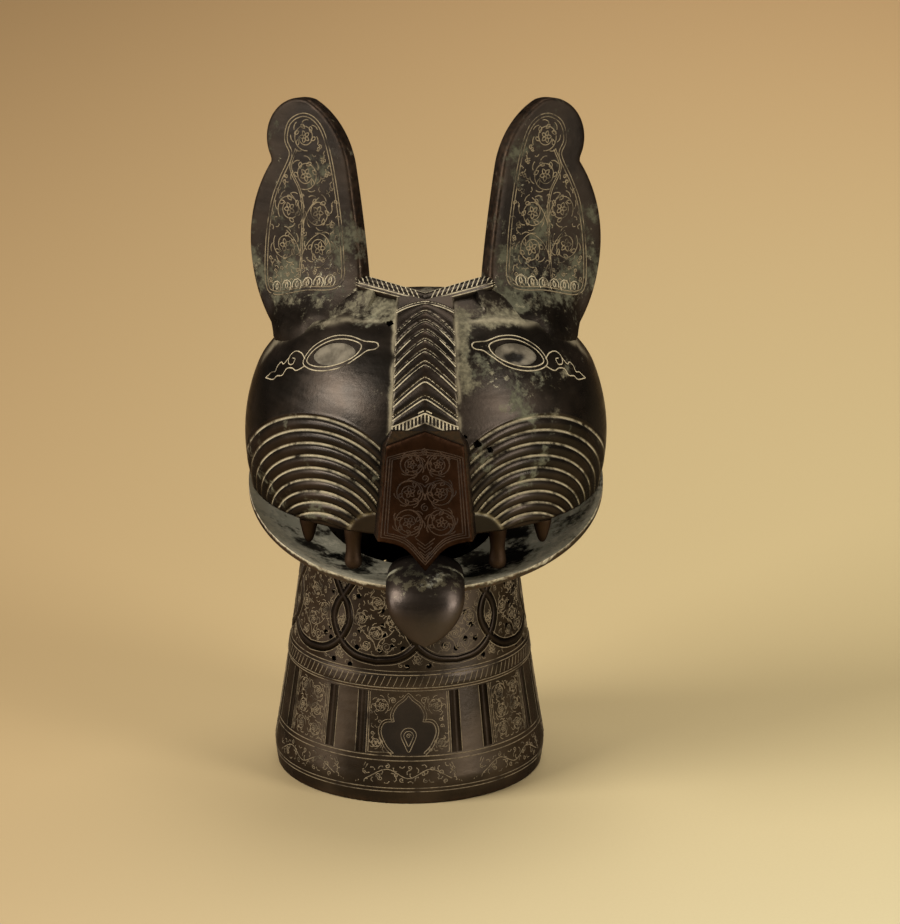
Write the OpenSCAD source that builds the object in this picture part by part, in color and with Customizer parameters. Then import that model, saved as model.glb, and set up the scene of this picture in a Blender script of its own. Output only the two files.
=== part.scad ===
// Feline incense burner: a hollow cast head, hinged at the nape on a flaring pierced neck.
// Millimetres, +Z up, face towards -Y, origin at the centre of the foot on the table.

/* [Neck] */
// Outer radius of the foot on the table
foot_r = 45.5; // [42:0.5:52]
// Height of the widest turn of the foot
foot_swell_z = 9; // [6:0.5:12]
// How far the foot swells past its table edge
foot_swell = 1; // [0.2:0.1:2]
// Outer radius of the neck near the head
neck_top_r = 34.6; // [33:0.2:37]
// Height at which that radius is taken
neck_top_z = 95; // [88:1:104]
// Inward sag of the flaring side
neck_sag = 0.6; // [0:0.1:2]
// Wall of the neck casting
neck_wall = 3; // [2:0.1:4]
// Width of the rim that stands round the base plate
rebate_rim = 1.8; // [1.2:0.1:2.4]
// Diameter of a smoke hole
vent_d = 1.7; // [1:0.1:2.5]
// Smoke holes in one ring round the neck
vent_count = 7; // [5:1:9]
// Turn of the first smoke hole from the front, in degrees
vent_turn = 7; // [4:1:10]

/* [Base plate and fire cup] */
// Thickness of the base plate
base_t = 2.4; // [1.6:0.1:2.9]
// Outer radius of the fire cup at its rim
cup_r = 26; // [22:0.5:27]
// Outer radius of the fire cup at its foot
cup_foot_r = 19; // [15:0.5:21]
// Height of the fire cup
cup_h = 40; // [30:1:46]
// Swell of the side of the cup, short of its rim
cup_belly = 1; // [0.5:0.1:2]
// Wall of the fire cup
cup_wall = 2; // [1.5:0.1:3]
// Gap between the base plate and the cup standing on it
seat_gap = 0.3; // [0.1:0.1:0.5]

/* [Head] */
// Sideways set of the head from the axis of the neck
head_x = 5.8; // [0:0.1:7]
// Radius of the ball that makes the face and cheeks
head_r = 61.4; // [58:0.2:64]
// Height of the centre of the ball
head_z = 120.5; // [118:0.5:123]
// Set of the centre of the ball in front of the neck axis
head_y = 4; // [2:0.5:6]
// Radius of the larger ball that slopes the back of the skull
nape_r = 120; // [112:1:130]
// Height of the crown on the middle line
crown_z = 178; // [174:0.5:180]
// Slope of the skull just behind the crown, in degrees
crown_slope = 20; // [16:1:26]
// Wall of the head casting
head_wall = 3.2; // [2.4:0.1:4]
// Height of the edge of the upper lip
lip_z = 102; // [99:0.5:105]
// Thickness of the lip
lip_t = 6.5; // [5:0.1:8]
// Height of the thickened lip
lip_h = 6; // [4:0.5:9]

/* [Lower jaw] */
// Forward slope of the jaw, in degrees
jaw_tilt = 19; // [15:1:22]
// Radius of the rim of the jaw
jaw_rim_r = 60.5; // [58:0.5:62]
// Height of the middle of the rim
jaw_z = 102; // [100:0.5:104]
// Set of the middle of the rim in front of the neck axis
jaw_y = 6; // [4:0.5:8]
// Radius of the shallow dish
jaw_ball_r = 109; // [100:1:120]
// Thickness of the jaw
jaw_t = 2; // [1.5:0.1:3]
// Radius of the throat that opens into the neck
throat_r = 30.5; // [29:0.5:31.5]

/* [Ears] */
// Thickness of an ear
ear_t = 6; // [4:0.2:8]
// Set of the inner edge of an ear from the middle line
ear_x = 19; // [17:0.5:22]
// Set of the inner edge behind the line of the crown
ear_back = 0.5; // [0:0.1:4]
// Depth of the inner foot of an ear under the crown
ear_sink = 2; // [1:0.5:4]
// Outward turn of an ear, in degrees
ear_turn = 35; // [25:1:42]
// Backward lean of an ear, in degrees
ear_lean = 8; // [4:1:12]
// Height of the tip of an ear over its inner foot
ear_h = 59.6; // [54:0.2:66]

/* [Muzzle] */
// Height of the crest of the brow ridge over the ball
ridge_h = 3.8; // [2:0.1:6]
// Height of the sides of the ridge over the ball
ridge_side = 1; // [0.5:0.1:2]
// How far the ridge runs on past the crown, in degrees
ridge_over = 3; // [1:0.5:5]
// Half width of the ridge at the crown
ridge_w_top = 9.3; // [7:0.1:11]
// Half width of the ridge where the nose begins
ridge_w_low = 11.6; // [10:0.1:13]
// Height of the upper end of the nose plate
nose_top_z = 140; // [135:0.5:145]
// Half width of the nose plate at its upper end
nose_w_top = 13; // [11:0.1:14]
// Half width of the nose plate at the lip
nose_w_low = 15.7; // [14:0.1:18]
// Drop of the pointed tip of the nose under the lip
nose_tip = 10.4; // [6:0.1:12]
// Thickness of the copper nose plate
nose_t = 1.6; // [1:0.1:2.5]
// How far the face of the snout stands in front of the ball
snout_rise = 0.6; // [0.4:0.1:3]
// Thickness of the rounded bars along the crown
crown_bar_d = 6; // [4:0.2:8]
// How far the two bars run forward of the crown where they meet the ridge
crown_bar_front = 3.5; // [1:0.1:5]
// How far they dip there
crown_bar_dip = 2.4; // [1:0.1:4]

/* [Tongue and teeth] */
// Width of the tongue
tongue_w = 24.6; // [18:0.2:28]
// Thickness of the tongue
tongue_t = 5; // [3.5:0.1:6]
// Length of the tongue that lies behind the edge of the throat
tongue_back = 8; // [6:0.5:10]
// Height of the tip of the tongue
tongue_tip_z = 67; // [64:0.5:72]
// Diameter of the rivet that holds the tongue
tongue_rivet_d = 4; // [2.5:0.1:5]
// Length of that rivet
tongue_rivet_l = 8; // [7.5:0.1:9]
// Diameter of an inner fang
inner_fang_d = 5.5; // [4:0.1:6.5]
// Length of an inner fang under the lip
inner_fang_l = 14; // [10:0.5:14.5]
// Set of the inner fangs from the middle line
inner_fang_x = 24; // [22:0.5:26]
// Diameter of an outer fang
outer_fang_d = 6; // [4:0.1:6.5]
// Length of an outer fang under the lip
outer_fang_l = 8.4; // [6:0.2:9]
// Set of the outer fangs from the middle line
outer_fang_x = 39; // [37:0.5:41]
// Diameter of the shank that pins a fang in the lip
shank_d = 2.6; // [1.6:0.1:3]
// Length of that shank
shank_l = 4; // [2:0.1:4.5]

/* [Eyes] */
// Set of an eye from the middle line
eye_x = 30.5; // [28:0.5:33]
// Height of an eye over the centre of the ball
eye_z = 38.4; // [36:0.2:43]
// Rise of an eye towards the nose, in degrees
eye_tilt = 16; // [0:1:24]
// Length of an eye
eye_l = 17; // [13:0.5:20]
// Height of an eye
eye_w = 8.4; // [6:0.2:10]
// Depth of the eye socket
eye_depth = 2.4; // [1.4:0.1:2.6]
// How far the left inlay lies under the brow surface
left_inlay_inset = 0.3; // [0.1:0.1:1]
// How far the worn right inlay lies under the brow surface
right_inlay_inset = 1.2; // [0.1:0.1:1.5]

/* [Nape hinge] */
// Diameter of the hinge pin
pin_d = 4; // [3:0.1:4.6]
// Outer diameter of the hinge knuckles
knuckle_d = 7.2; // [6.6:0.1:8]
// Width of the middle knuckle on the neck
knuckle_w = 12; // [8:0.5:16]
// Width of each outer lug on the head
lug_w = 5; // [4:0.5:8]
// Gap between neck and pin axis
hinge_reach = 6.5; // [6:0.1:8]
// Height of the bracket plate on the neck
bracket_h = 18; // [14:0.5:24]
// Thickness of the bracket plate
bracket_t = 4; // [3:0.1:5]
// Diameter of the bracket rivets
rivet_d = 3; // [2:0.1:4]
// Running clearance of the pin on its radius
pin_clear = 0.05; // [0.02:0.01:0.1]
// Gap between pieces that move past each other
move_gap = 0.3; // [0.2:0.05:0.5]
// Gap round a pinned or inlaid piece
set_gap = 0.05; // [0.02:0.01:0.15]

/* [Hidden] */
$fn = 64;
bronze = "#3a3228";
dark_bronze = "#2c261f";
copper = "#5a3a2a";
stone = "#8d8878";
far = 400;
// Height over the head's seat to which the neck is drawn before the seat is cut
neck_over = 20;

// Centre of the ball of the face, and of the larger ball behind the crown
ball_c = [0, -head_y, head_z];
crown_y = -head_y - sqrt(pow(head_r, 2) - pow(crown_z - head_z, 2));
nape_c = [0, crown_y - nape_r * sin(crown_slope), crown_z - nape_r * cos(crown_slope)];
// Inner foot of an ear, and face of the snout, set from the crown and the ball
ear_y = -crown_y - ear_back;
snout_y = head_y + head_r + snout_rise;
// Middle of the jaw rim, and centre of the ball that its dish is cut from
jaw_c = [0, -jaw_y, jaw_z];
jaw_rise = sqrt(pow(jaw_ball_r, 2) - pow(jaw_rim_r, 2));
dish_c = jaw_c + jaw_rise * [0, -sin(jaw_tilt), cos(jaw_tilt)];
// Hinge axis: behind the neck, just clear of the underside of the dish
hinge_y = neck_top_r + hinge_reach;
hinge_z = dish_c.z - sqrt(pow(jaw_ball_r + knuckle_d / 2 + 2 * move_gap, 2)
                          - pow(head_x, 2) - pow(hinge_y - dish_c.y, 2));
lug_x = knuckle_w / 2 + move_gap;
bracket_w = knuckle_w + 2 * lug_w;
bracket_top = hinge_z - knuckle_d / 2 - move_gap;
// Depth behind the lip at which the fangs are pinned
fang_ring_r = head_r - lip_t / 2;

// Outer radius of the neck at a height
function neck_r(z) =
    z < foot_swell_z ? foot_r + foot_swell * sin(90 * z / foot_swell_z) :
    let (t = (z - foot_swell_z) / (neck_top_z - foot_swell_z))
    foot_r + foot_swell + t * (neck_top_r - foot_r - foot_swell) - 4 * neck_sag * max(t * (1 - t), 0);

// Heights at which the side of the neck is drawn, from the foot to above the seat of the head
neck_steps = concat([for (i = [0:3]) foot_swell_z * i / 3],
                    [for (i = [1:7]) foot_swell_z + (neck_top_z - foot_swell_z) * i / 7],
                    [neck_top_z + neck_over]);

// Steps of the side that carry a ring of smoke holes
vent_steps = [6, 7, 8];

// Points of a circle arc from a through b to c
function arc3(a, b, c, n) =
    let (d = 2 * (a.x * (b.y - c.y) + b.x * (c.y - a.y) + c.x * (a.y - b.y)),
         ux = ((a * a) * (b.y - c.y) + (b * b) * (c.y - a.y) + (c * c) * (a.y - b.y)) / d,
         uy = ((a * a) * (c.x - b.x) + (b * b) * (a.x - c.x) + (c * c) * (b.x - a.x)) / d,
         m = [ux, uy], r = norm(a - m),
         t0 = atan2(a.y - uy, a.x - ux), t2 = atan2(c.y - uy, c.x - ux),
         turn = cross(b - a, c - b) > 0 ? 1 : -1,
         sweep = (turn * (t2 - t0) + 720) % 360)
    [for (i = [0:n]) m + r * [cos(t0 + turn * sweep * i / n), sin(t0 + turn * sweep * i / n)]];

// Point of a quadratic curve
function bez(a, b, c, t) = (1 - t) * (1 - t) * a + 2 * t * (1 - t) * b + t * t * c;

module on_head() { translate([head_x, 0, 0]) children(); }

// Ball of the dish, grown by a gap
module dish_ball(grow = 0) { translate(dish_c) sphere(jaw_ball_r + grow, $fn = 128); }

// Outer form of the skull, drawn in by a depth
module skull_form(depth = 0) {
    intersection() {
        translate(ball_c) sphere(head_r - depth, $fn = 128);
        translate(nape_c) sphere(nape_r - depth, $fn = 128);
    }
}

// Wall of the neck in section, with the rebate for the base plate at its foot
module neck_section() {
    polygon(concat(
        [[foot_r - rebate_rim, 0]], [for (z = neck_steps) [neck_r(z), z]],
        [for (i = [len(neck_steps) - 1:-1:0])
            if (neck_steps[i] > base_t) [neck_r(neck_steps[i]) - neck_wall, neck_steps[i]]],
        [[neck_r(base_t) - neck_wall, base_t], [foot_r - rebate_rim, base_t]]));
}

module neck_sleeve() {
    color(bronze) difference() {
        rotate_extrude() neck_section();
        on_head() dish_ball(move_gap);
        for (s = vent_steps, k = [0:vent_count - 1])
            rotate(vent_turn + 360 / vent_count * (k + (s % 2) / 2))
            translate([0, 0, (neck_steps[s] + neck_steps[s + 1]) / 2])
            rotate([90, 0, 0]) cylinder(d = vent_d, h = 2 * foot_r, $fn = 24);
    }
}

module base_plate() {
    color(dark_bronze) cylinder(r = foot_r - rebate_rim - set_gap, h = base_t);
}

module fire_cup() {
    color(dark_bronze) translate([0, 0, base_t + seat_gap]) rotate_extrude()
    polygon(concat(
        [[0, 0], [cup_foot_r, 0]],
        arc3([cup_foot_r, set_gap], [cup_r - cup_belly, cup_h / 2], [cup_r, cup_h], 6),
        arc3([cup_r - cup_wall, cup_h], [cup_r - cup_belly - cup_wall, cup_h / 2],
             [cup_foot_r - cup_wall, cup_wall * 1.5], 6),
        [[0, cup_wall * 1.5]]));
}

// Places of the two bracket rivets on the nape
module at_rivets() {
    for (side = [-1, 1])
        rotate(side * asin((bracket_w / 2 - rivet_d) / neck_top_r))
        translate([0, 0, bracket_top - bracket_h / 2]) rotate([-90, 0, 0]) children();
}

// Bracket on the nape: a strap curved to the neck, an arm with the middle knuckle, and a stop ledge
module hinge_bracket() {
    spread = 2 * asin(bracket_w / 2 / neck_top_r);
    low = bracket_top - bracket_h;
    strap_z = concat([low], [for (z = neck_steps) if (z > low && z < bracket_top) z], [bracket_top]);
    arm_y = neck_r(low) + set_gap;
    color(bronze) difference() {
        union() {
            rotate(90 - spread / 2) rotate_extrude(angle = spread)
            polygon(concat([for (z = strap_z) [neck_r(z) + bracket_t, z]],
                           [for (i = [len(strap_z) - 1:-1:0]) [neck_r(strap_z[i]) + set_gap, strap_z[i]]]));
            translate([-knuckle_w / 2, arm_y, bracket_top - knuckle_d / 2])
            cube([knuckle_w, hinge_y - arm_y, hinge_z - bracket_top + knuckle_d / 2]);
            translate([-knuckle_w / 2, hinge_y, hinge_z]) rotate([0, 90, 0])
            cylinder(d = knuckle_d, h = knuckle_w);
            translate([-bracket_w / 2, arm_y + bracket_t / 2, bracket_top - knuckle_d / 2])
            cube([bracket_w, hinge_y + knuckle_d - arm_y - bracket_t / 2, knuckle_d / 2]);
        }
        translate([-bracket_w, hinge_y, hinge_z]) rotate([0, 90, 0])
        cylinder(r = pin_d / 2 + pin_clear, h = 2 * bracket_w);
        at_rivets() cylinder(r = rivet_d / 2 + set_gap, h = far);
    }
}

module bracket_rivets() {
    middle = bracket_top - bracket_h / 2;
    seat = neck_r(middle - rivet_d / 2) + set_gap;
    face = neck_r(middle - rivet_d) + bracket_t + set_gap;
    color(dark_bronze) at_rivets() rotate_extrude()
    polygon([[0, seat], [rivet_d / 2, seat], [rivet_d / 2, face], [rivet_d, face],
             [rivet_d * 0.8, face + rivet_d * 0.4], [0, face + rivet_d / 2]]);
}

module hinge_pin() {
    color(dark_bronze) translate([-lug_x - lug_w, hinge_y, hinge_z]) rotate([0, 90, 0])
    cylinder(d = pin_d, h = 2 * (lug_x + lug_w));
}

// One of the two lugs that hang from the back of the jaw
module hinge_lug(side) {
    color(bronze) difference() {
        translate([side > 0 ? lug_x : -lug_x - lug_w, hinge_y, hinge_z])
        rotate([90, 0, 90]) linear_extrude(lug_w) union() {
            circle(d = knuckle_d);
            translate([-knuckle_d / 2, 0]) square([knuckle_d, 2 * knuckle_d]);
        }
        on_head() dish_ball();
        translate([-far, hinge_y, hinge_z]) rotate([0, 90, 0])
        cylinder(r = pin_d / 2 + pin_clear, h = 2 * far);
    }
}
module left_hinge_lug() hinge_lug(-1);
module right_hinge_lug() hinge_lug(1);

// Almond outline of an eye, its long side along Y
module eye_outline(gap = 0) {
    half = eye_l / 2 - gap;
    rise = eye_w / 2 - gap;
    r = (half * half + rise * rise) / (2 * rise);
    intersection_for (s = [-1, 1]) translate([s * (r - rise), 0]) circle(r, $fn = 360);
}

// Frame of an eye: Z points out of the ball through the eye
module at_eye(side) {
    flat = sqrt(pow(head_r, 2) - pow(eye_x, 2) - pow(eye_z, 2));
    translate(ball_c) rotate([0, 0, atan2(-flat, side * eye_x)]) rotate([0, acos(eye_z / head_r), 0])
    rotate([0, 0, -side * eye_tilt]) children();
}

module at_fang(side, x) {
    back = sqrt(pow(fang_ring_r, 2) - pow(head_z - lip_z, 2) - x * x);
    translate([side * x, -head_y - back, lip_z]) children();
}

module skull_shell() {
    color(bronze) on_head() difference() {
        intersection() {
            skull_form();
            dish_ball(-jaw_t);
        }
        difference() {
            skull_form(head_wall);
            translate([-far, -2 * far, lip_z + lip_h - 2 * far]) cube(2 * far);
        }
        skull_form(lip_t);
        translate([-far, -2 * far, lip_z - 2 * far]) cube(2 * far);
        for (side = [-1, 1]) {
            at_eye(side) translate([0, 0, head_r - eye_depth])
            linear_extrude(2 * eye_depth) eye_outline();
            for (x = [inner_fang_x, outer_fang_x])
                at_fang(side, x) cylinder(r = shank_d / 2 + set_gap, h = shank_l + 2 * set_gap);
        }
    }
}

module lower_jaw() {
    color(bronze) difference() {
        on_head() difference() {
            intersection() {
                dish_ball();
                translate(jaw_c) rotate([jaw_tilt, 0, 0]) translate([0, 0, -jaw_ball_r])
                cylinder(r = jaw_rim_r, h = jaw_ball_r + head_r, $fn = 128);
                translate(nape_c) sphere(nape_r + jaw_t / 2, $fn = 128);
            }
            dish_ball(-jaw_t);
            at_tongue_rivet() cylinder(r = tongue_rivet_d / 2 + set_gap, h = far, center = true);
        }
        cylinder(r = throat_r, h = far);
    }
}

// Two rounded bars along the crown: each runs from the top of the ridge back to the foot of an ear
module crown_bar() {
    middle = [0, crown_y - crown_bar_front, crown_z - crown_bar_dip];
    color(bronze) on_head() difference() {
        for (side = [-1, 1]) {
            way = [side * (ear_x + crown_bar_d / 2), -ear_y, crown_z] - middle;
            translate(middle) rotate([0, acos(way.z / norm(way)), atan2(way.y, way.x)])
            cylinder(d = crown_bar_d, h = norm(way));
        }
        skull_form();
        ridge_form();
        for (side = [-1, 1]) at_ear(side) ear_plate();
    }
}

// Front outline of an ear in shares of its height: u runs outwards, w upwards, from its inner foot.
// The inner edge leans out to the shoulder, the tip is round, and the outer edge swells below a notch.
ear_foot = [0, -0.4];
ear_shoulder = [0.208, 0.688];
ear_tip = [0.52, 1];
ear_notch = [0.742, 0.648];
ear_heel = [0.57, -0.386];
function ear_outline() = ear_h * concat(
    arc3(ear_foot, [0.087, 0.218], ear_shoulder, 8),
    arc3(ear_shoulder, [0.347, 0.896], ear_tip, 6),
    arc3(ear_tip, [0.738, 0.911], ear_notch, 10),
    arc3(ear_notch - [0.01, 0.024], [0.844, 0.201], ear_heel, 12));

module ear_plate() {
    translate([0, 0, -ear_t]) linear_extrude(ear_t) polygon(ear_outline());
}

module at_ear(side) {
    mirror([side > 0 ? 0 : 1, 0, 0]) translate([ear_x, -ear_y, crown_z - ear_sink])
    rotate([0, 0, ear_turn]) rotate([90 - ear_lean, 0, 0]) children();
}

module ear(side) {
    color(bronze) on_head() difference() {
        at_ear(side) ear_plate();
        skull_form();
    }
}
module left_ear() ear(-1);
module right_ear() ear(1);

// Angles over the centre of the ball at which the ridge starts and ends
ridge_low = asin((nose_top_z - head_z) / (head_r + ridge_h));
ridge_high = asin((crown_z - head_z) / head_r) + ridge_over;
// Height over the crown that the sides of the ridge run up to
ridge_top_z = crown_z + 2 * ridge_h;

// Ridge with a roof section that follows the brow from the crown down to the nose
module ridge_form() {
    intersection() {
        translate(ball_c) rotate([90, 0, -90]) rotate([0, 0, ridge_low])
        rotate_extrude(angle = ridge_high - ridge_low, $fn = 128)
        polygon([[head_r - head_wall, -nose_w_top], [head_r + ridge_side, -nose_w_top], [head_r + ridge_h, 0],
                 [head_r + ridge_side, nose_w_top], [head_r - head_wall, nose_w_top]]);
        rotate([90, 0, 0]) linear_extrude(far)
        polygon([[-ridge_w_low, nose_top_z], [ridge_w_low, nose_top_z], [ridge_w_top, ridge_top_z],
                 [-ridge_w_top, ridge_top_z]]);
    }
}

// Point under the lip in shares of the half width and of the drop of the nose's tip
function nose_at(across, down) = [nose_w_low * across, lip_z - nose_tip * down];

// Front outline of the nose down to the lip, with its ogee tip
function nose_outline() = concat(
    [[-nose_w_top, nose_top_z], [nose_w_top, nose_top_z], [nose_w_low, lip_z]],
    arc3([nose_w_low, lip_z], nose_at(0.62, 0.28), nose_at(0.34, 0.5), 4),
    [nose_at(0, 1)],
    arc3(nose_at(-0.34, 0.5), nose_at(-0.62, 0.28), [-nose_w_low, lip_z], 4));

module brow_ridge() {
    color(bronze) on_head() difference() {
        union() {
            ridge_form();
            translate([0, -head_r + head_wall, 0]) rotate([90, 0, 0])
            linear_extrude(snout_y - head_r + head_wall) intersection() {
                polygon(nose_outline());
                translate([-far, lip_z]) square(2 * far);
            }
        }
        skull_form();
    }
}

module nose_plate() {
    color(copper) on_head() translate([0, -snout_y, 0]) rotate([90, 0, 0]) linear_extrude(nose_t)
    polygon(nose_outline());
}

// Side outline of the tongue: it lies on the dish, turns over the rim and hangs down
rim_front = [-jaw_y - jaw_rim_r * cos(jaw_tilt), jaw_z - jaw_rim_r * sin(jaw_tilt)];
tongue_root_y = -throat_r - tongue_back;
tongue_tip = [rim_front.x - 2 * tongue_t, tongue_tip_z];
function tongue_side() =
    let (a = [tongue_root_y, rim_front.y + tongue_t], turn = rim_front + [-3, tongue_t + 1.4],
         inner = rim_front + [2, -1], low = a - [0, 2 * tongue_t], tip = tongue_tip + [0.8 * tongue_t, 0.4])
    concat([for (i = [0:10]) bez(a, 2 * turn - (a + tongue_tip) / 2, tongue_tip, i / 10)],
           [for (i = [0:10]) bez(tip, 2 * inner - (low + tip) / 2, low, i / 10)]);

module at_tongue_rivet() { translate([0, tongue_root_y - tongue_rivet_d, 0]) children(); }

module tongue() {
    color(dark_bronze) on_head() difference() {
        intersection() {
            rotate([90, 0, 90]) linear_extrude(tongue_w, center = true) polygon(tongue_side());
            rotate([90, 0, 0]) linear_extrude(far) union() {
                translate([0, tongue_tip_z + tongue_w / 2]) circle(d = tongue_w);
                translate([-tongue_w / 2, tongue_tip_z + tongue_w / 2]) square([tongue_w, far]);
            }
            translate([0, tongue_tip.x + tongue_w * 0.85, 0]) cylinder(r = tongue_w * 0.85, h = far);
        }
        difference() {
            translate(jaw_c) rotate([jaw_tilt, 0, 0]) translate([0, 0, -head_r])
            cylinder(r = jaw_rim_r, h = head_r + 2 * jaw_t, $fn = 128);
            dish_ball(-jaw_t);
        }
        at_tongue_rivet() cylinder(r = tongue_rivet_d / 2 + set_gap, h = far);
    }
}

module tongue_rivet() {
    y = tongue_root_y - tongue_rivet_d;
    seat = dish_c.z - sqrt(pow(jaw_ball_r, 2) - pow(y - dish_c.y, 2));
    color(copper) on_head() at_tongue_rivet() translate([0, 0, seat])
    cylinder(d = tongue_rivet_d, h = tongue_rivet_l);
}

module fang(side, x, d, l, bulb) {
    color(copper) on_head() at_fang(side, x) rotate_extrude() polygon([
        [0, shank_l], [shank_d / 2, shank_l], [shank_d / 2, 0], [d / 2, 0], [d * 0.36, -l * 0.5],
        [d * bulb, -l * 0.78], [d * bulb * 0.8, -l * 0.93], [0, -l]]);
}
module left_inner_fang() fang(-1, inner_fang_x, inner_fang_d, inner_fang_l, 0.5);
module right_inner_fang() fang(1, inner_fang_x, inner_fang_d, inner_fang_l, 0.5);
module left_outer_fang() fang(-1, outer_fang_x, outer_fang_d, outer_fang_l, 0.25);
module right_outer_fang() fang(1, outer_fang_x, outer_fang_d, outer_fang_l, 0.25);

module eye_inlay(side, inset) {
    color(stone) on_head() intersection() {
        at_eye(side) translate([0, 0, head_r - eye_depth]) linear_extrude(eye_depth) eye_outline(set_gap);
        translate(ball_c) sphere(head_r - inset, $fn = 256);
    }
}
module left_eye_inlay() eye_inlay(-1, left_inlay_inset);
module right_eye_inlay() eye_inlay(1, right_inlay_inset);

neck_sleeve();
base_plate();
fire_cup();
hinge_bracket();
bracket_rivets();
hinge_pin();
left_hinge_lug();
right_hinge_lug();
skull_shell();
lower_jaw();
crown_bar();
left_ear();
right_ear();
brow_ridge();
nose_plate();
tongue();
tongue_rivet();
left_inner_fang();
right_inner_fang();
left_outer_fang();
right_outer_fang();
left_eye_inlay();
right_eye_inlay();
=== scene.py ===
"""Looks of the feline-head incense burner: meshes, finishes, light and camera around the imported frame.

Lengths are millimetres until a mesh is made, +Z up and the face towards -Y. Pieces of the head are drawn
in the head's own frame, which stands a little to the side of the axis of the neck.
"""
import logging
import math
from collections.abc import Callable
from dataclasses import dataclass
from enum import Enum

import bmesh
import bpy
import numpy as np
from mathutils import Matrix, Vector


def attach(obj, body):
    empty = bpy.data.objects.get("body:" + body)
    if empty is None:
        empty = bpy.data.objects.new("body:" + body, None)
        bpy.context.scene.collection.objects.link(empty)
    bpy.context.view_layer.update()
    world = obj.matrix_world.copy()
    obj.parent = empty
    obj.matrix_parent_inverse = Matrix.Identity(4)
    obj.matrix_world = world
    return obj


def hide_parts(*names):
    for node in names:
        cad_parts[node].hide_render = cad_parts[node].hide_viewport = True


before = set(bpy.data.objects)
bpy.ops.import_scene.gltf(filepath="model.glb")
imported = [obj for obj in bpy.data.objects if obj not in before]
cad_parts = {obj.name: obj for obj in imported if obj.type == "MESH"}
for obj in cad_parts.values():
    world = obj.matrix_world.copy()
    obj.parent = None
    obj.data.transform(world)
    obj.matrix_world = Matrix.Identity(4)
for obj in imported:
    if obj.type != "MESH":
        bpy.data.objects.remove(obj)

LOG = logging.getLogger("burner")
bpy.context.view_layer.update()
MM = 0.001
HALVINGS = 40

Colour = tuple[float, float, float]
Point2 = tuple[float, float]
Array = np.ndarray
Path = np.ndarray
Tree = bpy.types.NodeTree
Node = bpy.types.Node
Socket = bpy.types.NodeSocket
Material = bpy.types.Material
Piece = bpy.types.Object
Value = float | Socket
Tint = Colour | Socket


class Body(str, Enum):
    """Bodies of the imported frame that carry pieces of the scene."""

    NECK = "neck"
    HEAD = "head"


class Slot(str, Enum):
    """Material slots of the record that pieces of the scene use."""

    BRONZE = "patinated_bronze"
    COPPER = "dark_copper"
    STONE = "eye_stone"


class Side(Enum):
    """Side of the head, with the sign of its x."""

    LEFT = -1
    RIGHT = 1

    @property
    def word(self) -> str:
        """Name of the side as it stands in the names of the pieces."""
        return self.name.lower()


# Curves on a flat plan

def arc3(start: Point2, middle: Point2, end: Point2, count: int) -> Path:
    """Points of the circle arc through three points.

    Args:
        start: First point.
        middle: A point on the way.
        end: Last point.
        count: Number of steps.

    Returns:
        Array of count + 1 points.
    """
    (ax, ay), (bx, by), (cx, cy) = start, middle, end
    d = 2 * (ax * (by - cy) + bx * (cy - ay) + cx * (ay - by))
    a2, b2, c2 = ax * ax + ay * ay, bx * bx + by * by, cx * cx + cy * cy
    ux = (a2 * (by - cy) + b2 * (cy - ay) + c2 * (ay - by)) / d
    uy = (a2 * (cx - bx) + b2 * (ax - cx) + c2 * (bx - ax)) / d
    turn = 1 if (bx - ax) * (cy - by) - (by - ay) * (cx - bx) > 0 else -1
    first, last = math.atan2(ay - uy, ax - ux), math.atan2(cy - uy, cx - ux)
    sweep = (turn * (last - first)) % (2 * math.pi)
    angle = first + turn * sweep * np.linspace(0, 1, count + 1)
    return np.stack([ux + math.hypot(ax - ux, ay - uy) * np.cos(angle),
                     uy + math.hypot(ax - ux, ay - uy) * np.sin(angle)], 1)


def smooth_path(points: list[Point2], step: float, closed: bool = False) -> Path:
    """Smooth curve through given points.

    Args:
        points: Points that the curve runs through.
        step: Spacing of the points that come out.
        closed: Whether the curve returns to its start.

    Returns:
        Array of points; a closed curve repeats its first point.
    """
    pts = np.array(points, float)
    ring = np.vstack([pts[-1], pts, pts[0], pts[1]]) if closed else np.vstack(
        [2 * pts[0] - pts[1], pts, 2 * pts[-1] - pts[-2]])
    out = []
    for p0, p1, p2, p3 in zip(ring[:-3], ring[1:-2], ring[2:-1], ring[3:]):
        count = max(2, int(np.linalg.norm(p2 - p1) / step))
        t = np.linspace(0, 1, count, endpoint=False)[:, None]
        out.append(0.5 * (2 * p1 + (p2 - p0) * t + (2 * p0 - 5 * p1 + 4 * p2 - p3) * t ** 2
                          + (3 * p1 - p0 - 3 * p2 + p3) * t ** 3))
    out.append((pts[0] if closed else pts[-1])[None])
    return np.vstack(out)


def resample(path: Path, count: int) -> Path:
    """Spread count points evenly along a path.

    Args:
        path: The path.
        count: Number of points.

    Returns:
        The evenly spaced points.
    """
    run = np.r_[0, np.cumsum(np.linalg.norm(np.diff(path, axis=0), axis=1))]
    at = np.linspace(0, run[-1], count)
    return np.stack([np.interp(at, run, path[:, k]) for k in range(path.shape[1])], 1)


def offset(path: Path, by: float) -> Path:
    """Path moved sideways to its left by a distance.

    Args:
        path: The path.
        by: Distance to the left.

    Returns:
        The moved path.
    """
    run = np.gradient(path, axis=0)
    run /= np.maximum(np.linalg.norm(run, axis=1, keepdims=True), 1e-9)
    return path + by * np.stack([-run[:, 1], run[:, 0]], 1)


def circle(centre: Point2, radius: float, count: int = 28) -> Path:
    """Closed circle."""
    angle = np.linspace(0, 2 * math.pi, count + 1)
    return np.array(centre) + radius * np.stack([np.cos(angle), np.sin(angle)], 1)


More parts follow.
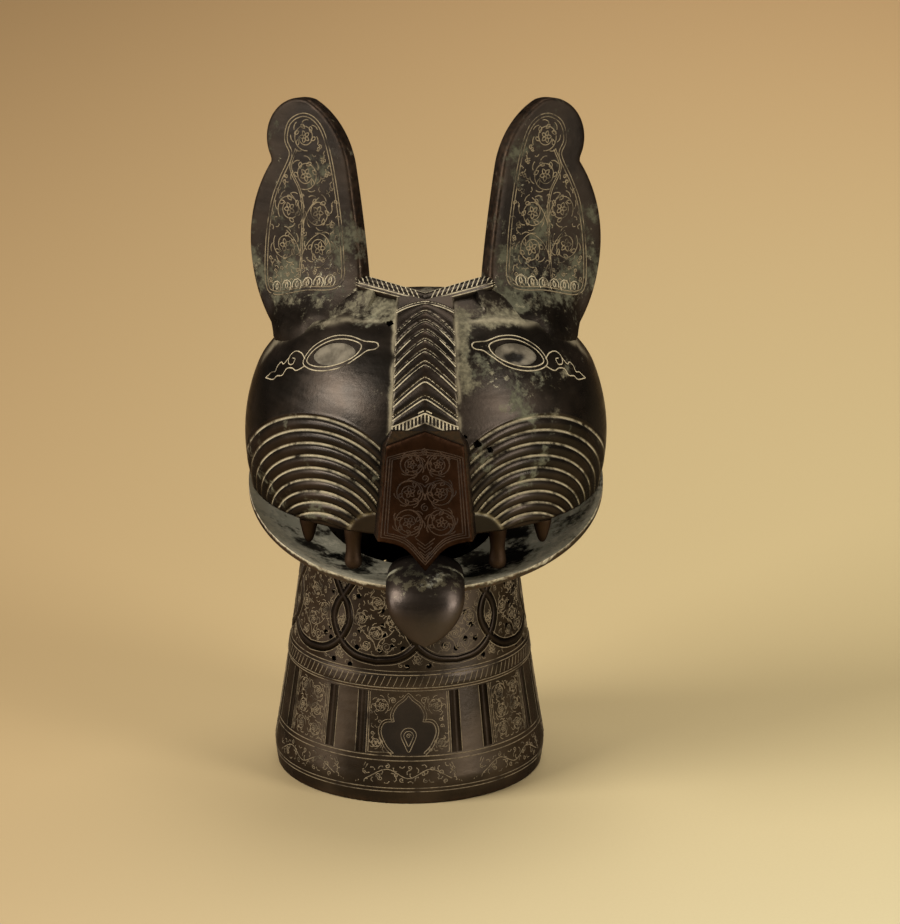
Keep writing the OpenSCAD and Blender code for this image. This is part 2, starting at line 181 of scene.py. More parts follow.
def spiral(centre: Point2, radius: float, start: float, turns: float, hand: int = 1,
           eye: float = 0.22) -> Path:
    """Spiral that runs in from a radius to its eye.

    Args:
        centre: Middle of the spiral.
        radius: Radius at the outer end.
        start: Angle of the outer end in degrees.
        turns: Number of turns.
        hand: 1 for anticlockwise, -1 for clockwise.
        eye: Share of the radius at the inner end.

    Returns:
        Array of points from the outer end to the eye.
    """
    t = np.linspace(0, 1, max(12, int(26 * turns)))
    angle = math.radians(start) + hand * 2 * math.pi * turns * t
    r = radius * (1 - (1 - eye) * t ** 0.8)
    return np.array(centre) + np.stack([r * np.cos(angle), r * np.sin(angle)], 1)


def leaf(base: Point2, tip: Point2, width: float) -> Path:
    """Closed pointed leaf from its base to its tip.

    Args:
        base: Foot of the leaf.
        tip: Its point.
        width: Its half width as a share of its length.

    Returns:
        The outline.
    """
    a, b = np.array(base, float), np.array(tip, float)
    side = np.array([-(b - a)[1], (b - a)[0]]) * width
    t = np.linspace(0, 1, 7)[:, None]
    bulge = np.sin(math.pi * t ** 0.8)
    there = a + (b - a) * t + side * bulge
    back = a + (b - a) * t[::-1] - side * bulge[::-1]
    return np.vstack([there, back[1:]])


def vine_scroll(centre: Point2, radius: float, start: float, hand: int) -> list[Path]:
    """One coil of a vine: a spiral stem, a rosette in its eye and leaves on both sides of the stem.

    Args:
        centre: Middle of the coil.
        radius: Radius of the coil.
        start: Angle at which the stem comes in, in degrees.
        hand: Way that it turns.

    Returns:
        Paths of the stem and leaves.
    """
    c = np.array(centre)

    def polar(angle: float, share: float) -> Array:
        """Place at an angle along the coil and a share of its radius."""
        a = math.radians(start + hand * angle)
        return c + share * radius * np.array([math.cos(a), math.sin(a)])

    paths = [spiral(centre, radius, start, 1.25, hand, 0.5)]
    petals = 5 if radius > 2.6 else 3
    for k in range(petals):
        angle = 360 / petals * k + 30
        paths.append(leaf(polar(angle, 0.08), polar(angle, 0.44), 0.34))
    for k in range(60, 340, 56):
        paths.append(leaf(polar(k, 0.9), polar(k + 24, 0.6), 0.28))
    for k in range(30, 330, 50):
        paths.append(arc3(tuple(polar(k, 1.02)), tuple(polar(k + 12, 1.16)), tuple(polar(k + 28, 1.22)), 4))
    return paths


def fill_ground(outline: Path, taken: list[tuple[float, float, float]], straps: list[Path], gap: float,
                strap_half: float = 2.0) -> list[Path]:
    """Small comma leaves over the free ground of a panel.

    Args:
        outline: Closed outline of the panel.
        taken: Circles (x, y, radius) that stay free of leaves.
        straps: Paths whose bands stay free of leaves.
        gap: Spacing of the leaves.
        strap_half: Half width of the bands.

    Returns:
        Paths of the leaves.
    """
    low, high = outline.min(0), outline.max(0)
    paths: list[Path] = []
    lines = np.vstack(straps) if straps else None
    for j, y in enumerate(np.arange(low[1] + gap * 0.6, high[1], gap * 0.9)):
        for i, x in enumerate(np.arange(low[0] + gap * (0.4 + 0.5 * (j % 2)), high[0], gap)):
            at = np.array([x + 0.3 * gap * math.sin(3.1 * i + 1.7 * j), y + 0.3 * gap * math.cos(2.3 * i - 1.1 * j)])
            a, b = outline[:-1], outline[1:]
            with np.errstate(divide="ignore", invalid="ignore"):
                cross = (a[:, 1] > at[1]) != (b[:, 1] > at[1])
                hit = (b[:, 0] - a[:, 0]) * (at[1] - a[:, 1]) / (b[:, 1] - a[:, 1]) + a[:, 0]
            if np.count_nonzero(cross & (at[0] < hit)) % 2 == 0:
                continue
            if np.min(np.linalg.norm(outline - at, axis=1)) < 0.55 * gap:
                continue
            if any(math.hypot(at[0] - cx, at[1] - cy) < r + 0.4 * gap for cx, cy, r in taken):
                continue
            if lines is not None and np.min(np.linalg.norm(lines - at, axis=1)) < strap_half:
                continue
            turn = 0.9 * i + 2.1 * j
            way = np.array([math.cos(turn), math.sin(turn)]) * gap * 0.36
            side = np.array([-way[1], way[0]])
            if (i + j) % 3 == 0:
                paths.append(spiral(tuple(at), 0.36 * gap, math.degrees(turn), 1.2, 1 if i % 2 else -1))
            else:
                paths.append(np.array([at - way, at + 0.5 * side, at + way, at + 0.75 * way - 0.35 * side]))
    return paths


def moved(paths: list[Path], by: Point2 = (0, 0), flip: bool = False) -> list[Path]:
    """Copies of paths, mirrored left to right first if asked, then moved."""
    sign = np.array([-1.0 if flip else 1.0, 1.0])
    return [p * sign + np.array(by) for p in paths]


# Meshes

class MeshBag:
    """Collects grids of points and joins them into one mesh."""

    def __init__(self) -> None:
        """Start with no points and no faces."""
        self.points: list[Array] = []
        self.faces: list[Array] = []
        self.loose: list[list[int]] = []
        self.count = 0

    def add(self, points: Array) -> Array:
        """Add points of any grid shape and return their numbers in that shape.

        Args:
            points: Points in a grid of any shape.

        Returns:
            Numbers of the points in the same shape.
        """
        flat = points.reshape(-1, 3)
        numbers = np.arange(self.count, self.count + len(flat)).reshape(points.shape[:-1])
        self.points.append(flat)
        self.count += len(flat)
        return numbers

    def quads(self, a: Array, b: Array, wrap: bool = False, flip: bool = False) -> None:
        """Join two rows of numbers with quads.

        Args:
            a: First row.
            b: Second row.
            wrap: Whether the rows are rings.
            flip: Whether the faces look the other way.
        """
        a2, b2 = (np.roll(a, -1), np.roll(b, -1)) if wrap else (a[1:], b[1:])
        a1, b1 = (a, b) if wrap else (a[:-1], b[:-1])
        quad = np.stack([a1, a2, b2, b1], 1)
        self.faces.append(quad[:, ::-1] if flip else quad)

    def grid(self, points: Array, wrap: bool = False, flip: bool = False) -> Array:
        """Add a grid of points with its faces and return the numbers.

        Args:
            points: Rows of points.
            wrap: Whether the rows are rings.
            flip: Whether the faces look the other way.

        Returns:
            Numbers of the points, row by row.
        """
        numbers = self.add(points)
        for a, b in zip(numbers[:-1], numbers[1:]):
            self.quads(a, b, wrap, flip)
        return numbers

    def cap(self, ring: Array, flip: bool = False) -> None:
        """Close a ring of numbers with a fan about its middle.

        Args:
            ring: Numbers of the ring.
            flip: Whether the faces look the other way.
        """
        flat = np.vstack(self.points)
        middle = int(self.add(flat[ring].mean(0)[None])[0])
        for a, b in zip(ring, np.roll(ring, -1)):
            self.loose.append([middle, int(b), int(a)] if flip else [middle, int(a), int(b)])

    def build(self, name: str, shift: float = 0.0, sharp: float = 40.0) -> Piece:
        """Make the mesh object.

        Args:
            name: Name of the piece.
            shift: Sideways set of the whole piece in millimetres.
            sharp: Angle in degrees past which an edge is drawn sharp.

        Returns:
            The linked object, at the origin.
        """
        points = np.vstack(self.points) + np.array([shift, 0, 0])
        faces = [f for block in self.faces for f in block.tolist()] + self.loose
        mesh = bpy.data.meshes.new(name)
        mesh.from_pydata((points * MM).tolist(), [], faces)
        obj = bpy.data.objects.new(name, mesh)
        bpy.context.scene.collection.objects.link(obj)
        clean(obj, sharp)
        return obj


def clean(obj: Piece, sharp: float) -> None:
    """Merge doubles, turn the normals outwards and set the smoothing.

    Args:
        obj: The piece.
        sharp: Angle in degrees past which an edge is drawn sharp.
    """
    work = bmesh.new()
    work.from_mesh(obj.data)
    bmesh.ops.remove_doubles(work, verts=work.verts, dist=2e-6)
    bmesh.ops.dissolve_degenerate(work, edges=work.edges, dist=1e-6)
    bmesh.ops.recalc_face_normals(work, faces=work.faces)
    work.to_mesh(obj.data)
    work.free()
    obj.data.shade_smooth()
    obj.data.set_sharp_from_angle(angle=math.radians(sharp))


def tube(name: str, rings: Array, shift: float = 0.0, sharp: float = 40.0) -> Piece:
    """Make a piece from rings of points, closed at both ends.

    Args:
        name: Name of the piece.
        rings: Rings of points, one after the other.
        shift: Sideways set of the whole piece in millimetres.
        sharp: Angle in degrees past which an edge is drawn sharp.

    Returns:
        The linked object, at the origin.
    """
    bag = MeshBag()
    numbers = bag.grid(rings, wrap=True)
    bag.cap(numbers[0])
    bag.cap(numbers[-1], True)
    return bag.build(name, shift, sharp)


def positions(obj: Piece, shift: float = 0.0) -> Array:
    """Vertex places of a piece in millimetres, less its sideways set.

    Args:
        obj: The piece.
        shift: Sideways set of the piece in millimetres.

    Returns:
        One place for each vertex.
    """
    flat = np.empty(len(obj.data.vertices) * 3, np.float32)
    obj.data.vertices.foreach_get("co", flat)
    return flat.reshape(-1, 3).astype(float) / MM - np.array([shift, 0, 0])


def paint(obj: Piece, **fields: Array) -> None:
    """Store one number per vertex for each named field.

    Args:
        obj: The piece.
        **fields: Numbers by the name of their field.
    """
    for name, values in fields.items():
        layer = obj.data.attributes.new(name, "FLOAT", "POINT")
        layer.data.foreach_set("value", np.asarray(values, np.float32))


def bake_modifiers(obj: Piece) -> None:
    """Turn the evaluated piece into a plain mesh and drop its modifiers.

    Args:
        obj: The piece.
    """
    graph = bpy.context.evaluated_depsgraph_get()
    mesh = bpy.data.meshes.new_from_object(obj.evaluated_get(graph), depsgraph=graph)
    obj.modifiers.clear()
    obj.data = mesh


def cut(obj: Piece, cutter: Piece) -> None:
    """Take a cutter out of a piece and delete the cutter.

    Args:
        obj: The piece.
        cutter: The piece to take out of it.
    """
    mod = obj.modifiers.new("cut", "BOOLEAN")
    mod.operation = "DIFFERENCE"
    mod.solver = "MANIFOLD"
    mod.object = cutter
    bake_modifiers(obj)
    bpy.data.objects.remove(cutter)
    obj.data.shade_smooth()
    obj.data.set_sharp_from_angle(angle=math.radians(45))


def step(edge0: float, edge1: float, value: Array) -> Array:
    """Smooth step from 0 at the first edge to 1 at the second."""
    t = np.clip((value - edge0) / (edge1 - edge0), 0, 1)
    return t * t * (3 - 2 * t)


def wobble(points: Array, size: float) -> Array:
    """Slow hand-made unevenness between -1 and 1 over places in millimetres.

    Args:
        points: Places in millimetres.
        size: Length of a wave, roughly.

    Returns:
        One number for each place.
    """
    x, y, z = (points / size).T
    return (np.sin(x + 1.7 * np.sin(0.7 * z)) + np.sin(1.3 * y + 0.8 * z + 2)
            + np.sin(1.1 * z - 0.9 * x + 1.2 * np.sin(y))) / 3


def bell(value: Array, width: float) -> Array:
    """Soft bump of height 1 about 0."""
    return np.exp(-(value / width) ** 2)


def spots(x: Array, z: Array, rows: tuple) -> Array:
    """Sum of soft oval spots on the face.

    Args:
        x: Places across the face.
        z: Heights of the places.
        rows: Strength, middle x, reach in x, middle z and reach in z of each spot.

    Returns:
        One number for each place.
    """
    return sum(much * np.exp(-((x - mx) / rx) ** 2 - ((z - mz) / rz) ** 2) for much, mx, rx, mz, rz in rows)


def unit(ways: Array) -> Array:
    """Ways drawn to a length of one."""
    return ways / np.linalg.norm(ways, axis=-1, keepdims=True)


def around(r: Array | float, angle: Array, z: Array | float) -> Array:
    """Places at a radius, an angle from the front and a height about the z axis."""
    x, y = r * np.sin(angle), -r * np.cos(angle)
    return np.stack([x, y, np.broadcast_to(z, x.shape)], -1)


def crossing(low: Array, high: Array,
             inside: Callable[[Array], Array]) -> tuple[Array, Array]:
    """Halve the way from inside to outside until both ends meet.

    Args:
        low: Values that lie inside.
        high: Values that lie outside.
        inside: Test that tells whether values lie inside.

    Returns:
        The last values inside and the first ones outside.
    """
    for _ in range(HALVINGS):
        middle = (low + high) / 2
        within = inside(middle)
        low, high = np.where(within, middle, low), np.where(within, high, middle)
    return low, high


# Node trees

def add_node(tree: Tree, kind: str, inputs: dict | None = None, **props: object) -> Node:
    """Add a node, set its properties, and set or link its inputs.

    Args:
        tree: Tree that it goes into.
        kind: Type name of the node.
        inputs: Values or sockets by input name or number.
        **props: Properties of the node.

    Returns:
        The new node.
    """
    made = tree.nodes.new(kind)
    for name, value in props.items():
        setattr(made, name, value)
    for key, value in (inputs or {}).items():
        if isinstance(value, Socket):
            tree.links.new(value, made.inputs[key])
        else:
            made.inputs[key].default_value = value
    return made


def math_node(tree: Tree, operation: str, *values: Value) -> Socket:
    """Result socket of a math node on values or sockets."""
    return add_node(tree, "ShaderNodeMath", dict(enumerate(values)), operation=operation).outputs[0]


def ramp(tree: Tree, value: Socket, low: Value, high: Value) -> Socket:
    """Smooth mask of a value between a low and a high edge."""
    return add_node(tree, "ShaderNodeMapRange", {"Value": value, "From Min": low, "From Max": high},
                    interpolation_type="SMOOTHSTEP", clamp=True).outputs["Result"]


def mix(tree: Tree, factor: Value, a: Tint, b: Tint) -> Socket:
    """Mix of two colours or colour sockets by a factor.

    Args:
        tree: Tree that it goes into.
        factor: Share of the second colour.
        a: First colour.
        b: Second colour.

    Returns:
        Socket of the mixed colour.
    """
    made = add_node(tree, "ShaderNodeMix", {0: factor}, data_type="RGBA")
    for number, value in ((6, a), (7, b)):
        if isinstance(value, Socket):
            tree.links.new(value, made.inputs[number])
        else:
            made.inputs[number].default_value = (*value, 1.0)
    return made.outputs[2]


def field_value(tree: Tree, name: str) -> Socket:
    """Number that a piece stores at its vertices under a name."""
    return add_node(tree, "ShaderNodeAttribute", attribute_name=name).outputs["Fac"]


def between(tree: Tree, share: Value, low: float, high: float) -> Socket:
    """Number that runs from a low to a high value as a share runs from 0 to 1."""
    return add_node(tree, "ShaderNodeMapRange", {"Value": share, "To Min": low, "To Max": high}).outputs["Result"]


def new_material(name: str) -> tuple[Material, Tree, Node]:
    """Start a node material and return it with its tree and its shader.

    Args:
        name: Its name.

    Returns:
        The material, its tree and its shader.
    """
    material = bpy.data.materials.new(name)
    material.use_nodes = True
    return material, material.node_tree, material.node_tree.nodes["Principled BSDF"]


class EffectGroups:
    """Shader node groups for the effects that several finishes share."""

    def __init__(self) -> None:
        """Build each group once."""
        self.mottle = self._mottle()
        self.crust = self._crust()
        self.broken_line = self._broken_line()
        self.rows = self._rows()

    @staticmethod
    def _start(name: str, inputs: dict[str, float],
               outputs: list[str]) -> tuple[Tree, Node, Node]:
        """Make an empty group with float sockets and return the tree, its input and its output node.

        Args:
            name: Its name.
            inputs: Inputs with their usual values.
            outputs: Names of the outputs.

        Returns:
            The tree, its input node and its output node.
        """
        tree = bpy.data.node_groups.new(name, "ShaderNodeTree")
        for key, value in inputs.items():
            tree.interface.new_socket(key, in_out="INPUT", socket_type="NodeSocketFloat").default_value = value
        for key in outputs:
            tree.interface.new_socket(key, in_out="OUTPUT", socket_type="NodeSocketFloat")
        return tree, tree.nodes.new("NodeGroupInput"), tree.nodes.new("NodeGroupOutput")

    @staticmethod
    def _noise(tree: Tree, scale: Value, detail: float, rough: float = 0.55) -> Socket:
        """Noise over the place on the piece.

        Args:
            tree: Tree that it goes into.
            scale: How fine it is.
            detail: Number of finer layers.
            rough: Strength of the finer layers.

        Returns:
            Socket of the noise.
        """
        place = add_node(tree, "ShaderNodeTexCoord").outputs["Object"]
        return add_node(tree, "ShaderNodeTexNoise", {"Vector": place, "Scale": scale, "Detail": detail,
                                                     "Roughness": rough}).outputs["Fac"]

    def _mottle(self) -> Tree:
        """Uneven patina: a broad, a fine and a streaky mask.

        Returns:
            The node group.
        """
        tree, given, out = self._start("patina_mottle", {"Broad Scale": 45.0, "Fine Scale": 620.0},
                                       ["Broad", "Fine", "Streak"])
        place = add_node(tree, "ShaderNodeTexCoord").outputs["Object"]
        drawn = add_node(tree, "ShaderNodeVectorMath", {0: place, 1: (60.0, 60.0, 480.0)}, operation="MULTIPLY")
        streak = add_node(tree, "ShaderNodeTexNoise", {"Vector": drawn.outputs["Vector"], "Scale": 1.0, "Detail": 3.0})
        tree.links.new(ramp(tree, streak.outputs["Fac"], 0.32, 0.7), out.inputs["Streak"])
        broad = self._noise(tree, given.outputs["Broad Scale"], 4.0)
        fine = self._noise(tree, given.outputs["Fine Scale"], 3.0, 0.65)
        tree.links.new(ramp(tree, broad, 0.34, 0.68), out.inputs["Broad"])
        tree.links.new(ramp(tree, fine, 0.3, 0.72), out.inputs["Fine"])
        return tree

    def _crust(self) -> Tree:
        """Corrosion in ragged patches that a bias draws to some places.

        Returns:
            The node group.
        """
        tree, given, out = self._start("corrosion_crust", {"Scale": 70.0, "Amount": 0.3, "Bias": 0.0, "Soft": 0.11},
                                       ["Mask"])
        large = self._noise(tree, given.outputs["Scale"], 6.0, 0.62)
        small = self._noise(tree, math_node(tree, "MULTIPLY", given.outputs["Scale"], 7.0), 3.0, 0.7)
        field_sum = math_node(tree, "ADD", math_node(tree, "MULTIPLY", large, 0.72),
                              math_node(tree, "MULTIPLY", small, 0.28))
        lifted = math_node(tree, "ADD", field_sum, math_node(tree, "MULTIPLY", given.outputs["Bias"], 0.34))
        edge = math_node(tree, "SUBTRACT", 0.86, math_node(tree, "MULTIPLY", given.outputs["Amount"], 0.5))
        soft_edge = math_node(tree, "ADD", edge, given.outputs["Soft"])
        tree.links.new(ramp(tree, lifted, edge, soft_edge), out.inputs["Mask"])
        return tree

    def _broken_line(self) -> Tree:
        """Pale fill of a line, broken where it has been rubbed out.

        Returns:
            The node group.
        """
        tree, given, out = self._start("lime_fill", {"Line": 0.0, "Break": 0.5}, ["Mask"])
        coarse = self._noise(tree, 160.0, 4.0, 0.6)
        hold = ramp(tree, coarse, math_node(tree, "SUBTRACT", given.outputs["Break"], 0.16),
                    math_node(tree, "ADD", given.outputs["Break"], 0.1))
        tree.links.new(math_node(tree, "MULTIPLY", given.outputs["Line"], hold), out.inputs["Mask"])
        return tree

    def _rows(self) -> Tree:
        """Thin lines where a running count passes a whole number.

        Returns:
            The node group.
        """
        tree, given, out = self._start("row_lines", {"Count": 0.0, "On": 0.0, "Half Width": 0.15}, ["Line"])
        away = math_node(tree, "PINGPONG", given.outputs["Count"], 0.5)
        line = ramp(tree, away, given.outputs["Half Width"],
                    math_node(tree, "MULTIPLY", given.outputs["Half Width"], 0.1))
        tree.links.new(math_node(tree, "MULTIPLY", line, given.outputs["On"]), out.inputs["Line"])
        return tree

    @staticmethod
    def place(tree: Tree, group: Tree, inputs: dict) -> Node:
        """Put a group into a material with its own values."""
        return add_node(tree, "ShaderNodeGroup", inputs, node_tree=group)


@dataclass(frozen=True)
class MetalFinish:
    """Patinated copper alloy with corrosion, lime in its lines, rubbed edges and painted shade in holes and hollow
    insides.

    Attributes:
        name: Name of the material.
        dark: Colour of the patina.
        warm: Warmer colour that shows through it.
        crust: Colour of the corrosion.
        film: Colour of the pale film that gathers in hollows.
        lime: Colour of the pale deposit.
        rough: Roughness of the rubbed patina.
        crust_amount: Share of the surface under corrosion.
        lime_break: How much of the deposit is rubbed out.
        rub: Colour of rubbed edges.
        grain: Height of the surface grain in millimetres.
        metallic: How metallic the surface is.
        gloss: Strength of its plain reflection.
        edge: Tint of the metal seen at a glance.
        specks: Share of the surface under small pale specks.
        hole: Colour of the painted shade inside holes, pits and hollow insides, and of dark pattern fields on the neck.
        dull_rough: Roughness of corrosion, film and lime.
        film_noise: Scale, amount and softness of the film's patches.
        speck_noise: Scale and softness of the specks.
        cover: How fully crust, specks, film and lime hide the patina.
        uneven_rough: Roughness that broad and streaky unevenness add.
        crust_rise: Height of the crust against the grain.
        bump: Strength of the surface grain.
    """

    name: str
    dark: Colour = (0.0235, 0.0205, 0.0175)
    warm: Colour = (0.044, 0.034, 0.0265)
    crust: Colour = (0.142, 0.144, 0.098)
    film: Colour = (0.285, 0.262, 0.172)
    lime: Colour = (0.5, 0.44, 0.3)
    rough: float = 0.235
    crust_amount: float = 0.44
    lime_break: float = 0.46
    rub: Colour = (0.085, 0.05, 0.03)
    grain: float = 0.05
    metallic: float = 0.85
    gloss: float = 0.3
    edge: Colour = (0.3, 0.26, 0.22)
    specks: float = 0.3
    hole: Colour = (0.004, 0.003, 0.002)
    dull_rough: float = 0.82
    film_noise: tuple = (150.0, 0.36, 0.17)
    speck_noise: tuple = (330.0, 0.07)
    cover: tuple = (0.85, 0.55, 0.8, 0.9)
    uneven_rough: tuple = (0.13, 0.1)
    crust_rise: float = 1.6
    bump: float = 0.35

    def build(self, effects: EffectGroups) -> Material:
        """Make the material.

        Args:
            effects: Shared node groups.

        Returns:
            The node material.
        """
        material, tree, shader = new_material(self.name)
        mottle = effects.place(tree, effects.mottle, {})
        crust = effects.place(tree, effects.crust, {"Amount": self.crust_amount,
                                                    "Bias": field_value(tree, "crust")}).outputs["Mask"]
        rows = effects.place(tree, effects.rows, {"Count": field_value(tree, "row_count"),
                                                  "On": field_value(tree, "row_on")}).outputs["Line"]
        lines = math_node(tree, "MAXIMUM", rows, field_value(tree, "lime"))
        lime = effects.place(tree, effects.broken_line, {"Line": lines, "Break": self.lime_break}).outputs["Mask"]
        crust_cover, speck_cover, film_cover, lime_cover = self.cover
        scale, amount, soft = self.film_noise
        film = effects.place(tree, effects.crust, {"Scale": scale, "Amount": amount, "Soft": soft,
                                                   "Bias": field_value(tree, "film")}).outputs["Mask"]
        film = math_node(tree, "MULTIPLY", film, between(tree, mottle.outputs["Fine"], 0.4, 1.0))
        scale, soft = self.speck_noise
        specks = effects.place(tree, effects.crust, {"Scale": scale, "Amount": self.specks, "Soft": soft,
                                                     "Bias": field_value(tree, "crust")}).outputs["Mask"]
        specks = math_node(tree, "MULTIPLY", specks, speck_cover)
        rub = math_node(tree, "MULTIPLY", field_value(tree, "rub"), mottle.outputs["Fine"])
        pit = field_value(tree, "pit")

        colour = mix(tree, mottle.outputs["Broad"], self.dark, self.warm)
        colour = mix(tree, math_node(tree, "MULTIPLY", crust, crust_cover), colour, self.crust)
        colour = mix(tree, specks, colour, self.film)
        colour = mix(tree, rub, colour, self.rub)
        colour = mix(tree, math_node(tree, "MULTIPLY", film, film_cover), colour, self.film)
        colour = mix(tree, math_node(tree, "MULTIPLY", lime, lime_cover), colour, self.lime)
        # Painted shade: the stored field darkens holes, pits and insides towards the hole colour; on the neck it also
        # darkens the trefoil fields, which are a pattern.
        colour = mix(tree, pit, colour, self.hole)
        tree.links.new(colour, shader.inputs["Base Color"])
        dull = math_node(tree, "MAXIMUM", math_node(tree, "MAXIMUM", crust, lime),
                         math_node(tree, "MAXIMUM", film, pit))
        rough = between(tree, dull, self.rough, self.dull_rough)
        broad, streak = self.uneven_rough
        spread = math_node(tree, "MULTIPLY", mottle.outputs["Broad"], broad)
        spread = math_node(tree, "ADD", spread, math_node(tree, "MULTIPLY", mottle.outputs["Streak"], streak))
        tree.links.new(math_node(tree, "ADD", rough, spread), shader.inputs["Roughness"])
        bare = math_node(tree, "MULTIPLY", math_node(tree, "SUBTRACT", 1.0, dull), self.metallic)
        tree.links.new(bare, shader.inputs["Metallic"])
        shader.inputs["Specular Tint"].default_value = (*self.edge, 1.0)
        shader.inputs["Specular IOR Level"].default_value = self.gloss
        height = math_node(tree, "ADD", mottle.outputs["Fine"], math_node(tree, "MULTIPLY", crust, self.crust_rise))
        bump = add_node(tree, "ShaderNodeBump", {"Height": height, "Strength": self.bump, "Distance": self.grain * MM})
        tree.links.new(bump.outputs["Normal"], shader.inputs["Normal"])
        return material


@dataclass(frozen=True)
class LineFinish:
    """Pale lime in an engraved line, dark where it has fallen out.

    Attributes:
        name: Name of the material.
        lime: Colour of the fill.
        bare: Colour of the empty line.
        gone: Share of the line that is empty.
        gloss: Strength of its plain reflection.
    """

    name: str
    lime: Colour = (0.6, 0.525, 0.36)
    bare: Colour = (0.05, 0.038, 0.026)
    gone: float = 0.42
    gloss: float = 0.2

    def build(self, effects: EffectGroups) -> Material:
        """Make the material from the shared groups and return it.

        Args:
            effects: Shared node groups.

        Returns:
            The node material.
        """
        material, tree, shader = new_material(self.name)
        kept = effects.place(tree, effects.broken_line, {"Line": 1.0, "Break": self.gone}).outputs["Mask"]
        fine = effects.place(tree, effects.mottle, {"Fine Scale": 900.0}).outputs["Fine"]
        shade = mix(tree, fine, tuple(0.62 * c for c in self.lime), self.lime)
        tree.links.new(mix(tree, kept, self.bare, shade), shader.inputs["Base Color"])
        tree.links.new(between(tree, kept, 0.5, 0.85), shader.inputs["Roughness"])
        shader.inputs["Specular IOR Level"].default_value = self.gloss
        return material


@dataclass(frozen=True)
class StoneFinish:
    """Grey stone paste of an eye inlay.

    Attributes:
        name: Name of the material.
        pale: Colour of the sound paste.
        dull: Colour of the worn paste.
        hollow: Colour of the painted shade in the depth of a hollow.
        rough: Roughness where it is smoothest.
        gloss: Strength of its plain reflection.
        grain: Height of the surface grain in millimetres.
    """

    name: str
    pale: Colour = (0.2, 0.175, 0.13)
    dull: Colour = (0.09, 0.077, 0.056)
    hollow: Colour = (0.01, 0.008, 0.006)
    rough: float = 0.5
    gloss: float = 0.12
    grain: float = 0.06

    def build(self, effects: EffectGroups) -> Material:
        """Make the material from the shared groups and return it.

        Args:
            effects: Shared node groups.

        Returns:
            The node material.
        """
        material, tree, shader = new_material(self.name)
        shader.inputs["Specular IOR Level"].default_value = self.gloss
        mottle = effects.place(tree, effects.mottle, {"Broad Scale": 210.0, "Fine Scale": 1400.0})
        colour = mix(tree, mottle.outputs["Broad"], self.pale, self.dull)
        # Painted shade: the stored field darkens the hollow of a worn inlay.
        colour = mix(tree, field_value(tree, "pit"), colour, self.hollow)
        tree.links.new(colour, shader.inputs["Base Color"])
        rough = between(tree, mottle.outputs["Fine"], self.rough, self.rough + 0.25)
        tree.links.new(rough, shader.inputs["Roughness"])
        bump = add_node(tree, "ShaderNodeBump", {"Height": mottle.outputs["Fine"], "Strength": 0.4,
                                                 "Distance": self.grain * MM})
        tree.links.new(bump.outputs["Normal"], shader.inputs["Normal"])
        return material


